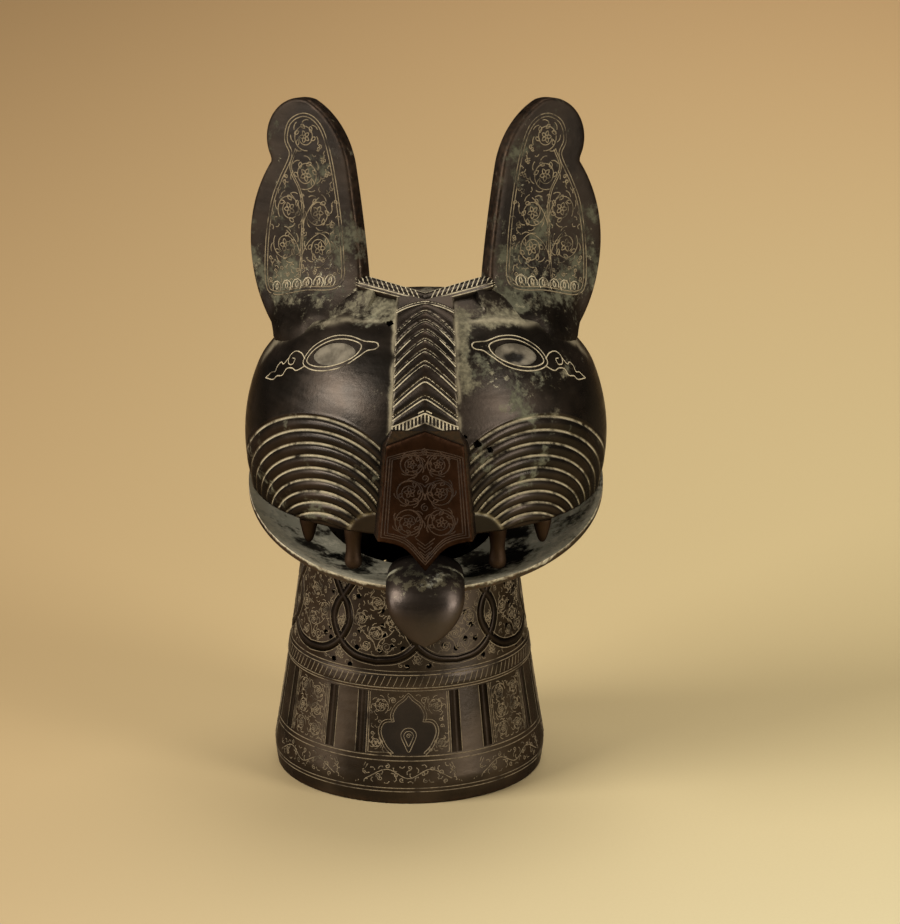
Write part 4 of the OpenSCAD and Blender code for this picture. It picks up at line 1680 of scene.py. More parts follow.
    @staticmethod
    def _vine_panel(box: Path) -> list[Path]:
        """Paths of a narrow panel with six vine coils.

        Args:
            box: Frame of the panel.

        Returns:
            The paths.
        """
        paths = [box, box * np.array([0.9, 1])]
        coils = [(sign * 3.7, h, 2.9) for h in (21.8, 28.4, 35.0) for sign in (-1, 1)]
        for number, (x, z, radius) in enumerate(coils):
            paths += vine_scroll((x, z), radius, 90 * number, 1 if x < 0 else -1)
        return paths + fill_ground(box, [(x, z, 1.1 * radius) for x, z, radius in coils], [], 2.0)

    @staticmethod
    def _foot_panel() -> list[Path]:
        """Paths of a long cartouche at the foot.

        Returns:
            The paths.
        """
        box = np.array([[-17.4, 7.4], [17.4, 7.4], [14.2, 14.4], [-14.2, 14.4], [-17.4, 7.4]])
        wave = smooth_path([(-14.0, 9.0), (-7.0, 12.6), (0, 9.6), (7.0, 12.6), (14.0, 9.0)], 0.6)
        return [box, box * np.array([0.95, 0.86]) + np.array([0, 1.5]), wave] + fill_ground(box, [], [], 2.4)

    def lower_band(self) -> None:
        """Framed panels with a trefoil or vines, plain bars between them and long cartouches below."""
        r = float(self.radius(self.panel_z))
        cell = 2 * math.pi * r / self.repeats
        half, low, high = self.panel_half, self.panel_low, self.panel_high
        box = np.array([[-half, low], [half, low], [half, high], [-half, high], [-half, low]])
        trefoil = self._trefoil_panel(box)
        vine = self._vine_panel(box * np.array([self.panel_narrow, 1]))
        foot = self._foot_panel()
        plain: list[Path] = []
        paths: list[Path] = []
        bars: list[Path] = []
        for k in range(self.repeats):
            by = (k * cell, 0)
            wide = k in self.trefoil_cells
            edge = half if wide else self.panel_narrow * half
            paths += moved((trefoil if wide else vine) + foot, by)
            for x in (-(edge + 2.6), edge + 2.6):
                plain += moved([np.array([[x, low - 0.4], [x, self.panel_z], [x, high + 0.2]])], by)
                bars += moved([np.array([[x + d, low - 0.4], [x + d, high + 0.2]]) for d in (-1.9, 1.9)], by)
        patch = NeckPatch(self, r)
        self.shop.engrave("neck_plain_bars", patch, plain, Body.NECK, Slot.BRONZE, self.shop.strap_bronze, 3.6, 0.07)
        self.shop.engrave("neck_panels", patch, paths + bars, Body.NECK, Slot.BRONZE, self.shop.faint_line, 0.34)

    def build(self) -> None:
        """Make the neck and its bands."""
        self.casting()
        self.rings()
        self.upper_band()
        self.lower_band()


# The head

@dataclass
class FaceCasting:
    """Hollow head: cheeks with reeds, brow creases, eye sockets and casting pits."""

    shop: Workshop
    eye_x: float = 30.5
    eye_z: float = 158.9
    eye_tilt: float = -16.0
    eye_l: float = 17.0
    eye_w: float = 8.4
    eye_depth: float = 2.4
    pits: tuple = ((-11.7, 169.1, 1.3), (13.1, 136.6, 0.8), (17.1, 134.1, 1.3), (21.4, 131.7, 1.0))
    film_spots: tuple = ((0.7, 27, 11, 168, 3.0), (0.55, 22, 4, 158, 6), (0.6, -17, 9, 173, 4), (0.5, -40, 10, 166, 5),
                         (0.5, -14, 5, 146, 7), (0.62, 26.0, 4.6, 144.6, 3.22), (0.62, 37.5, 3.6, 139.6, 2.52),
                         (0.62, 43.7, 3.2, 138.7, 2.24), (0.62, 19.0, 4.0, 152.0, 2.8), (0.62, 33.0, 3.0, 149.0, 2.1),
                         (0.62, 47.0, 3.4, 149.0, 2.38), (0.62, 16.0, 3.0, 139.0, 2.1))
    crust_spots: tuple = ((0.45, 22, 12, 158, 9), (0.3, 42, 10, 150, 7), (0.2, -17, 8, 172, 6), (0.3, 30, 14, 147, 7),
                          (-0.25, -34, 14, 146, 8))
    front_columns: int = 330
    back_columns: int = 50
    rows: int = 210

    def shell(self) -> Piece:
        """Make the wall of the head with its worked outside.

        Returns:
            The finished piece.
        """
        ball, dish = HEAD.centre, np.array(HEAD.dish)
        half = math.radians(98)
        turn = np.r_[np.linspace(-half, half, self.front_columns),
                     np.linspace(half, 2 * math.pi - half, self.back_columns + 2)[1:-1]]

        def direction(polar: Array) -> Array:
            """Unit ways from the middle of the ball, for polar angles over all turns."""
            return around(np.sin(polar), turn, np.cos(polar))

        def lowest(inset: float) -> Array:
            """Polar angle at which the wall ends at the lip or on the dish, for each turn.

            Args:
                inset: How far the form is drawn in.

            Returns:
                One angle for each turn.
            """
            def inside(polar: Array) -> Array:
                """Whether the wall still runs on at polar angles.

                Args:
                    polar: Polar angles.

                Returns:
                    One answer for each turn.
                """
                way = direction(polar)
                p = ball + HEAD.reach(way, inset)[:, None] * way
                return (p[:, 2] > HEAD.lip_z) & (np.linalg.norm(p - dish, axis=1) < HEAD.dish_r - HEAD.jaw_t)

            return crossing(np.full_like(turn, 0.6), np.full_like(turn, 2.6), inside)[0]

        end = lowest(0.0)
        share = np.r_[0.0, np.linspace(0.03, 0.30, 26), np.linspace(0.30, 1.0, self.rows)[1:]]
        outer = []
        for t in share:
            way = direction(end * t)
            p = ball + HEAD.reach(way)[:, None] * way
            edge = -0.5 * (1 - min(1.0, (1 - t) * 110)) ** 2
            outer.append(p + (HEAD.relief(p) + edge)[:, None] * way)
        inner_end = lowest(HEAD.lip_t)
        inner = []
        for t in np.linspace(1.0, 0.0, 16):
            way = direction(inner_end * t)
            thick = HEAD.wall + (HEAD.lip_t - HEAD.wall) * np.clip((t - 0.9) / 0.06, 0, 1)
            inner.append(ball + HEAD.reach(way, thick)[:, None] * way)
        bag = MeshBag()
        bag.grid(np.array(outer + inner), wrap=True)
        obj = bag.build("head_casting", HEAD.shift)
        for cutter in self._cutters():
            cut(obj, cutter)
        self._fields(obj)
        return self.shop.keep(obj, Body.HEAD, Slot.BRONZE, self.shop.bronze, "skull_shell")

    def almond(self, grow: float = 0.0, count: int = 36) -> Path:
        """Closed outline of an eye socket on its own plan: an oval drawn out a little at its ends.

        Args:
            grow: How far it is drawn out all round.
            count: Number of points.

        Returns:
            The outline.
        """
        angle = np.linspace(0, 2 * math.pi, count + 1)
        pinch = np.abs(np.sin(angle)) ** 1.15 * np.sign(np.sin(angle))
        return np.stack([(self.eye_l / 2 + grow) * np.cos(angle), (self.eye_w / 2 + grow) * pinch], 1)

    def eye_patch(self, side: Side, lift: float = 0.02) -> FacePatch:
        """Plan of an eye at a height over the face."""
        return FacePatch(side, self.eye_x, self.eye_z, self.eye_tilt, lift)

    def _cutters(self) -> list[Piece]:
        """Cutters for the two eye sockets and the casting pits.

        Returns:
            The cutters.
        """
        cutters = []
        outline = self.almond()[:-1]
        for side in Side:
            rings = [self.eye_patch(side, lift).at(*outline.T) for lift in (2.0, -self.eye_depth)]
            cutters.append(tube(f"{side.word}_socket_cutter", np.array(rings)))
        for number, (x, z, r) in enumerate(self.pits):
            ragged = 1 + 0.22 * np.sin(np.arange(12) * 2.3 + number)
            ring = circle((0, 0), r, 12)[:-1] * ragged[:, None]
            side = Side.RIGHT if x > 0 else Side.LEFT
            rings = [FacePatch(side, abs(x), z, 0.0, lift).at(*ring.T) for lift in (1.5, -2.2)]
            cutters.append(tube(f"pit_cutter_{number}", np.array(rings)))
        return cutters

    def _fields(self, obj: Piece) -> None:
        """Store where the reeds, the lime, the corrosion, the rubbed edges and the painted shade of the sockets, the
        pits and the inside are.

        Args:
            obj: The piece.
        """
        place = positions(obj, HEAD.shift)
        way = place - HEAD.centre
        far = np.linalg.norm(way, axis=1)
        way = way / far[:, None]
        p = HEAD.centre + HEAD.ball_r * way
        x, y, z = p.T
        plain = HEAD.reach(way)
        deep = plain + HEAD.relief(HEAD.centre + plain[:, None] * way) - far
        outside = deep < 1.0
        front = (1 - step(-14, -4, y)) * outside
        back = step(-14, -4, y) * outside
        over = z - HEAD.crease_z(x)
        ridge_w = np.interp(z, [102, 138, 187], [19.0, 11.2, 9.2])
        beside = np.abs(x) - ridge_w
        open_brow = step(128, 142, z) * (1 - step(-38, -30, y))
        ragged = wobble(p, 2.1)
        lime = 0.45 * bell(over + 0.2 + 0.5 * ragged, 0.8) * step(13, 17, np.abs(x))
        lime = np.maximum(lime, 0.7 * bell(beside - 0.3 + 0.4 * ragged, 0.6) * open_brow)
        wing_line = bell(HEAD.wing(x, z) - HEAD.wing_r, 0.45) * (np.abs(x) < HEAD.wing_end)
        lime = np.maximum(lime, 0.6 * wing_line)
        film = 0.95 * bell(beside - 2.5, 3.0) * step(144, 152, z) * open_brow * (x > 0)
        film += 0.6 * bell(beside, 1.6) * open_brow * (x < 0)
        film += 0.45 * step(-1, 2, over) + 0.35 * bell(over + 0.6, 1.6) + spots(x, z, self.film_spots)
        lip = bell(z - HEAD.lip_z, 0.7)
        reeds = HEAD.reed_share(x, y, z)
        crust = spots(x, z, self.crust_spots) + 0.3 * bell(np.abs(x) - 34, 14) * bell(z - 172, 4) + 0.2 * reeds
        rim = bell(place[:, 2] - 107, 7)
        # Painted shade: the sockets, the casting pits and the inside of the wall are painted dark.
        pit = np.where(deep < 0.35, 0.0, 0.75)
        paint(obj, lime=lime * front, rub=np.clip(lip, 0, 1) * outside * 0.6,
              crust=crust * front + (0.2 + 0.2 * rim) * back, film=film * front + (0.25 * rim - 0.1) * back,
              row_count=HEAD.reed_count(x, z), row_on=0.95 * reeds * front, pit=pit)

    def eye_lines(self) -> None:
        """Double contour of each eye and the flame that trails from its outer corner."""
        for side in Side:
            patch = self.eye_patch(side)
            ring = smooth_path([(12.6, -1.8), (9.4, 3.4), (2.2, 6.6), (-4.6, 6.5), (-10.6, 4.5), (-13.0, 4.3),
                                (-15.6, 4.0), (-16.5, 2.7), (-15.4, 1.5), (-12.6, 0.8), (-10.0, -1.3), (-4.8, -4.8),
                                (1.6, -6.0), (8.2, -5.0)], 0.5, True)
            inner = smooth_path([(10.9, -1.4), (8.2, 2.4), (1.9, 5.1), (-4.6, 5.1), (-10.0, 2.9), (-8.8, -0.8),
                                 (-4.2, -3.5), (1.6, -4.6), (7.4, -3.8)], 0.5, True)
            curl = smooth_path([(12.0, -0.6), (14.4, 2.0), (18.0, 3.4), (20.8, 2.0), (20.6, -0.8), (18.2, -1.6),
                                (17.2, 0.2), (18.8, 0.9)], 0.4)
            crest = smooth_path([(20.8, 1.6), (23.8, -0.4), (25.6, 0.8), (28.0, -0.2), (29.2, -2.2), (32.2, -1.8),
                                 (34.6, -2.4), (37.6, -3.0)], 0.5)
            keel = smooth_path([(11.6, -3.4), (15.4, -4.4), (18.2, -3.0), (21.4, -2.8), (23.6, -4.8), (27.4, -4.4),
                                (30.4, -5.2), (37.6, -3.0)], 0.5)
            self.shop.engrave(f"{side.word}_eye_lines", patch, [ring, inner, curl, crest, keel], Body.HEAD,
                              Slot.BRONZE, None, 0.42, 0.09)

    def inlays(self) -> None:
        """Stone paste in the sockets: whole on the left, sunk and hollow on the right, with painted shade in the
        hollow.
        """
        for side in Side:
            left = side is Side.LEFT
            outline = self.almond(-0.06)[:-1]
            patch = self.eye_patch(side)
            rings = [self.eye_patch(side, -self.eye_depth + 0.02).at(*outline.T)]
            for t in np.linspace(0, 1, 12):
                a, b = (outline * (1 - t)).T
                hollow = bell(a + 0.6 - 0.4 * b, 3.6) * bell(b + 1.0 + 0.3 * np.sin(1.7 * a), 1.6)
                sink = np.full_like(a, 0.35 + 0.15 * t) if left else 0.6 + 0.1 * t + 1.5 * hollow
                rings.append(patch.at(a, b) - sink[:, None] * patch.normal(a, b))
            bag = MeshBag()
            numbers = bag.grid(np.array(rings), wrap=True)
            bag.cap(numbers[0], True)
            obj = bag.build(f"{side.word}_eye_stone", 0.0, 50)
            place = positions(obj, HEAD.shift)
            deep = HEAD.ball_r - np.linalg.norm(place - HEAD.centre, axis=1)
            # Painted shade: the hollow of the right inlay is painted dark, more so where it is deeper.
            paint(obj, pit=np.clip((deep - 0.8) / 0.5, 0, 0.97) if not left else np.zeros(len(deep)))
            self.shop.keep(obj, Body.HEAD, Slot.STONE, self.shop.stone, f"{side.word}_eye_inlay")

    def build(self) -> None:
        """Make the head, its eye lines and its inlays."""
        self.shell()
        self.eye_lines()
        self.inlays()


@dataclass
class EarPatch(Patch):
    """Plan of the front of an ear: a runs outwards from its inner foot, b up the ear."""

    side: Side
    flare: float = 8.2
    flare_top: float = 11.0
    flare_run: float = 22.0
    flare_u: tuple = (-4, 2, 10, 18, 30, 39)
    flare_share: tuple = (0.1, 0.4, 0.95, 1.0, 0.45, 0.0)
    bow: float = 0.7
    bow_run: float = 58.0
    lift: float = 0.03

    def place(self, u: Array, w: Array, depth: Array) -> Array:
        """Places at a depth behind the front; the root flares forward to the brow crease.

        Args:
            u: Places along the ear.
            w: Places up the ear.
            depth: Depths behind its front.

        Returns:
            The places.
        """
        along, up, out = EAR.axes(self.side)
        rise = np.clip((self.flare_top - w) / self.flare_run, 0, 1.5) ** 2
        narrow = np.interp(u, self.flare_u, self.flare_share)
        bow = self.bow * np.sin(np.clip(w / self.bow_run, 0, 1) * math.pi)
        forward = self.flare * rise * narrow * (depth < 3.0) + bow - depth
        place = EAR.foot(self.side) + u[..., None] * along + w[..., None] * up + forward[..., None] * out
        way = place - HEAD.centre
        far = np.linalg.norm(way, axis=-1)
        over = place[..., 2] - HEAD.crease_z(place[..., 0])
        most = HEAD.ball_r - 0.9 + 1.15 * np.maximum(over, 0)
        place = HEAD.centre + way * (np.minimum(far, most) / far)[..., None]
        return place + HEAD.aside

    def at(self, a: Array, b: Array) -> Array:
        """Places on the front of the ear."""
        return self.place(a, b, np.full_like(a, -self.lift))

    def normal(self, a: Array, b: Array) -> Array:
        """Normals out of the front of the ear."""
        way = super().normal(a, b)
        return way * np.sign(way @ EAR.axes(self.side)[2])[:, None]


@dataclass
class Ears:
    """Two tall ears with engraved panels."""

    shop: Workshop
    thickness: float = 6.0
    rows: int = 96
    round_edge: tuple = ((0.0, 2.0), (0.0, 1.25), (0.16, 0.55), (0.55, 0.16), (1.25, 0.0))

    def edges(self) -> tuple[Path, Path]:
        """Inner and outer outline of an ear, each from its foot to the tip.

        Returns:
            The inner and the outer outline.
        """
        inner = np.vstack([arc3((0, -23.8), (5.2, 13), (12.4, 41), 30),
                           arc3((12.4, 41), (20.7, 53.4), (31, 59.6), 20)[1:]])
        outer = np.vstack([arc3((31, 59.6), (44, 54.3), (44.2, 38.6), 30),
                           arc3((43.6, 37.2), (50.3, 12), (34, -23), 40)])[::-1]
        return resample(inner, self.rows), resample(outer, self.rows)

    def plate(self, side: Side) -> Piece:
        """Make one ear as rounded slices from its foot to its tip.

        Args:
            side: Side of the head.

        Returns:
            The finished piece.
        """
        patch = EarPatch(side)
        inner, outer = self.edges()
        t = self.thickness
        front_in = [(offset(inner, -i), d) for i, d in self.round_edge]
        front_out = [(offset(outer, i), d) for i, d in self.round_edge]
        across = np.linspace(0, 1, 22)[1:-1]
        columns = list(front_in)
        columns += [(front_in[-1][0] * (1 - s) + front_out[-1][0] * s, 0.0) for s in across]
        columns += front_out[::-1]
        columns += [(line, t - d) for line, d in front_out]
        columns += [(front_in[-1][0] * (1 - s) + front_out[-1][0] * s, t) for s in across[::-4]]
        columns += [(line, t - d) for line, d in front_in[::-1]]
        u, w = np.array([line for line, _ in columns]).transpose(2, 1, 0)
        depth = np.tile([d for _, d in columns], (self.rows, 1))
        bag = MeshBag()
        numbers = bag.grid(patch.place(u, w, depth), wrap=True)
        bag.cap(numbers[0])
        obj = bag.build(f"{side.word}_ear_plate")
        along, up, _ = EAR.axes(side)
        rel = positions(obj, HEAD.shift) - EAR.foot(side)
        u, w = rel @ along, rel @ up
        reach = np.min(np.linalg.norm(np.stack([u, w], 1)[:, None] - np.vstack([inner, outer])[None], axis=2), axis=1)
        paint(obj, rub=bell(reach, 0.9) * 0.45, lime=np.zeros(len(w)),
              film=0.58 * bell(w + 8, 5) + 0.3 * bell(u - 12, 8) * bell(w - 8, 12), crust=0.25 + 0.2 * bell(w + 1, 13))
        return self.shop.keep(obj, Body.HEAD, Slot.BRONZE, self.shop.ear_bronze, f"{side.word}_ear")

    def panel(self, side: Side) -> None:
        """Draw the bordered panel of vine scrolls on the front of an ear.

        Args:
            side: Side of the head.
        """
        border = smooth_path([(11.4, 0.6), (11.9, 10.1), (14.0, 22.3), (18.4, 37.9), (22.8, 48.2), (27.0, 52.8),
                              (32.0, 53.8), (36.6, 50.8), (37.4, 45.2), (34.9, 40.2), (38.4, 31.0), (40.9, 23.0),
                              (42.1, 9.1), (41.2, -3.8), (37.6, -6.6), (24.0, -2.6)], 0.8, True)
        coils = [(30.4, 47.2, 4.8, 1), (28.6, 34.6, 5.2, -1), (34.2, 22.2, 5.1, 1), (22.4, 22.8, 5.1, -1),
                 (35.0, 9.6, 5.2, -1), (20.8, 10.8, 5.3, 1)]
        paths: list[Path] = []
        for number, (u, w, r, hand) in enumerate(coils):
            paths += vine_scroll((u, w), r, 250 + 35 * number, hand)
        stem = smooth_path([(33.0, 42.6), (34.6, 36.0), (30.2, 29.2), (28.2, 22.0), (27.9, 12.0), (27.4, -0.4)], 0.7)
        paths += [stem, offset(stem, 0.7)]
        for u, w, r, _ in coils[2:]:
            side_of = 1 if u > 28 else -1
            paths.append(arc3((28.0, w - 0.9 * r), (28.0 + side_of * 2.2, w + 0.2 * r), (u, w + r), 8))
        frame_line = offset(border, 1.1)
        paths += fill_ground(frame_line, [(u, w, 1.15 * r) for u, w, r, _ in coils], [], 2.3)
        bright: list[Path] = []
        for k in range(6):
            u = 14.6 + 4.5 * k
            base = 0.5 - 0.27 * (u - 12)
            bright += [arc3((u - 1.7, base), (u, base + 3.2), (u + 1.7, base), 6),
                       leaf((u, base + 0.4), (u, base + 2.6), 0.25)]
        patch = EarPatch(side)
        self.shop.engrave(f"{side.word}_ear_border", patch, [border, frame_line], Body.HEAD, Slot.BRONZE,
                          self.shop.ear_line, 0.4)
        self.shop.engrave(f"{side.word}_ear_vines", patch, paths, Body.HEAD, Slot.BRONZE, self.shop.ear_line, 0.38)
        self.shop.engrave(f"{side.word}_ear_leaves", patch, bright, Body.HEAD, Slot.BRONZE, None, 0.42)

    def build(self) -> None:
        """Make both ears with their panels."""
        for side in Side:
            self.plate(side)
            self.panel(side)


@dataclass
class RidgePatch(Patch):
    """Plan of the brow ridge: a runs across it, b is the angle over the middle of the ball in degrees."""

    crest_r: float = 65.2
    crown_r: float = 63.4
    side_r: float = 62.4
    slope_half: float = 13.0
    lift: float = 0.03
    peaks: tuple = (60.0, 56.2, 52.6, 49.0, 45.6, 42.2, 38.4, 33.4, 28.0, 23.4)
    shape_at: tuple = (23, 33, 56, 60)
    straight: tuple = (0.5, 0.66, 0.5, 0.05)
    bow: tuple = (0.0, 0.008, 0.036, 0.03)
    leaf_rise: float = 0.42
    groove: float = 0.3
    groove_share: float = 0.3

    def fall(self, peak: float, x: Array) -> Array:
        """Drop of a chevron below its peak, in degrees, at places across the ridge.

        Args:
            peak: Angle of the peak in degrees.
            x: Places across the ridge.

        Returns:
            One drop for each place.
        """
        straight = float(np.interp(peak, self.shape_at, self.straight))
        bow = float(np.interp(peak, self.shape_at, self.bow))
        return straight * (np.sqrt(x * x + 0.8) - math.sqrt(0.8)) + bow * x * x

    def count(self, x: Array, angle: Array) -> Array:
        """Running number of the chevron at places on the ridge.

        Args:
            x: Places across the ridge.
            angle: Angles over the middle of the ball in degrees.

        Returns:
            One running number for each place.
        """
        number = np.full_like(angle, -1.0)
        lines = [peak - self.fall(peak, x) for peak in self.peaks]
        for k, (high, low) in enumerate(zip(lines[:-1], lines[1:])):
            share = (high - angle) / np.maximum(high - low, 0.3)
            number = np.where((share >= 0) & (share < 1), k + share, number)
        return np.where(angle < lines[-1], -1.0, number)

    def at(self, a: Array, b: Array) -> Array:
        """Places on the roof of the ridge.

        Args:
            a: First coordinates on the plan.
            b: Second coordinates on the plan.

        Returns:
            The places.
        """
        crest = np.interp(b, [46, 62], [self.crest_r, self.crown_r])
        fall = (crest - self.side_r) / self.slope_half
        r = crest + self.lift - fall * (np.sqrt(a * a + 0.5) - math.sqrt(0.5))
        number = self.count(a, b)
        beat = number - np.floor(number)
        cut_end = self.groove_share
        rise = self.leaf_rise * np.sin(math.pi * np.clip((beat - cut_end) / 0.7, 0, 1)) ** 0.7
        groove = -self.groove * (beat < cut_end) * np.abs(np.cos(math.pi * beat / cut_end))
        r = r + np.where(number >= 0, rise + groove, 0.0)
        angle = np.radians(b)
        return np.stack([a + HEAD.shift, HEAD.ball[1] - r * np.cos(angle), HEAD.ball[2] + r * np.sin(angle)], -1)

    def normal(self, a: Array, b: Array) -> Array:
        """Normals away from the middle of the ball.

        Args:
            a: First coordinates on the plan.
            b: Second coordinates on the plan.

        Returns:
            The normals.
        """
        angle = np.radians(b)
        lean = np.sign(a) * 0.2
        return unit(np.stack([lean, -np.cos(angle), np.sin(angle)], -1))


@dataclass
class BrowRidge:
    """Roof-shaped ridge with chevrons, and the block of the snout under the nose plate."""

    shop: Workshop
    top: float = 62.5
    foot: float = 17.8
    slope: float = 0.36
    half_top: float = 9.2
    half_low: float = 11.4
    band: tuple = (22.6, 19.9)
    chevron_end: float = 23.4
    snout_top: float = 140.0
    snout_y: float = 66.0
    snout_bevel: float = 0.4

    def low(self, x: Array) -> Array:
        """Lower end of the ridge in degrees: it falls from the crest to the sides."""
        return self.foot - self.slope * np.abs(x)

    def half(self, angle: Array) -> Array:
        """Half width of the ridge at angles in degrees."""
        return np.interp(angle, [13, 20, 70], [self.half_low, self.half_low - 0.3, self.half_top])

    def roof(self) -> Piece:
        """Make the ridge with its leaf-like chevrons.

        Returns:
            The finished piece.
        """
        patch = RidgePatch(lift=0.0)
        share = np.linspace(0, 1, 210)[:, None]
        cross = np.linspace(-1, 1, 61)[None]
        x = cross * self.half(self.foot + share * (self.top - self.foot))
        angle = self.low(x) + share * (self.top - self.low(x))
        points = patch.at(x, angle)
        rise = np.stack([np.zeros_like(angle), -np.cos(np.radians(angle)), np.sin(np.radians(angle))], -1)
        edge = 1 - step(0.0, 0.06, 1 - np.abs(cross))
        points = points - rise * (0.5 * edge ** 2)[..., None]
        sink = HEAD.centre + HEAD.aside
        foot_l = sink + (points[:, 0] - sink) * 0.945
        foot_r = sink + (points[:, -1] - sink) * 0.945
        rings = np.concatenate([foot_l[:, None], points, foot_r[:, None]], 1)
        obj = tube("brow_ridge_roof", rings, 0.0, 50)
        place = positions(obj, HEAD.shift) - HEAD.centre
        a = np.degrees(np.arctan2(place[:, 2], -place[:, 1]))
        beside = self.half(a) - np.abs(place[:, 0])
        crest = bell(place[:, 0], 1.2)
        paint(obj, rub=np.clip(0.3 * crest + 0.3 * bell(beside, 0.6), 0, 1), lime=0.5 * bell(beside, 0.5))
        return self.shop.keep(obj, Body.HEAD, Slot.BRONZE, self.shop.bronze, "brow_ridge")

    def chevrons(self) -> None:
        """Draw the double line of each chevron."""
        patch = RidgePatch()
        paths = []
        for peak, after in zip(patch.peaks, patch.peaks[1:] + (19.0,)):
            for gap in (0.0, patch.groove_share * (peak - after)):
                reach = float(self.half(peak - 6)) - 0.3
                x = np.linspace(-reach, reach, 49)
                line = np.stack([x, peak - gap - patch.fall(peak, x)], 1)
                floor = self.chevron_end - self.slope * np.abs(x)
                keep = np.flatnonzero(line[:, 1] > floor)
                for run in np.split(keep, np.flatnonzero(np.diff(keep) > 1) + 1):
                    if len(run) > 3:
                        paths.append(line[run])
        self.shop.engrave("ridge_chevrons", patch, paths, Body.HEAD, Slot.BRONZE, None, 0.56, 0.14)

    def bead_band(self) -> None:
        """Two lines with short rungs between them, at the foot of the chevrons."""
        patch = RidgePatch()
        x = np.linspace(-self.half_low + 0.4, self.half_low - 0.4, 33)
        lines = [np.stack([x, c - self.slope * np.abs(x)], 1) for c in self.band]
        self.shop.engrave("ridge_band_lines", patch, lines, Body.HEAD, Slot.BRONZE, None, 0.5, 0.1)
        rungs = [np.array([[x0, 22.5 - self.slope * abs(x0)], [x0, 20.0 - self.slope * abs(x0)]])
                 for x0 in np.linspace(-self.half_low + 0.6, self.half_low - 0.6, 19)]
        self.shop.engrave("ridge_band_rungs", patch, rungs, Body.HEAD, Slot.BRONZE, None, 0.5, 0.1)

    def snout(self) -> Piece:
        """Make the block behind the nose plate, with sides that spread to the cheeks.

        Returns:
            The finished piece.
        """
        z = np.linspace(self.snout_top, HEAD.lip_z, 40)
        front = np.interp(z, [HEAD.lip_z, 135, self.snout_top], [15.5, 12.9, 10.8])
        bevel_y = self.snout_y - self.snout_bevel
        rows = []
        for h, w in zip(z, front):
            spread = 3.4 * step(self.snout_top, 132, np.array(h))
            back = np.interp(h, [102, 110, 125, 140], [50.0, 56.0, 57.5, 57.0])
            half = [(w + spread, back), (w + spread * 0.55, (back + self.snout_y) / 2), (w + self.snout_bevel, bevel_y),
                    (w, self.snout_y)]
            rows.append([(-x, -y, h) for x, y in half] + [(x, -y, h) for x, y in half[::-1]])
        obj = tube("snout_block", np.array(rows), HEAD.shift)
        place = positions(obj, HEAD.shift)
        paint(obj, rub=0.8 * bell(np.abs(place[:, 1]) - bevel_y, 0.6))
        return self.shop.keep(obj, Body.HEAD, Slot.BRONZE, self.shop.bronze)

    def build(self) -> None:
        """Make the ridge, its band and the snout."""
        self.roof()
        self.chevrons()
        self.bead_band()
        self.snout()


@dataclass
class NosePatch(Patch):
    """Plan of the nose plate: a runs across, b is the height."""

    face_y: float = 67.6
    lift: float = 0.03
    crown: float = 0.35

    def at(self, a: Array, b: Array) -> Array:
        """Places on the slightly crowned face of the plate."""
        bow = self.crown * (1 - (a / 16.0) ** 2)
        return np.stack([a + HEAD.shift, -self.face_y - bow - self.lift + self.crown, b], -1)

    def normal(self, a: Array, b: Array) -> Array:
        """Normals that point forward."""
        way = super().normal(a, b)
        return way * np.sign(-way[:, 1])[:, None]


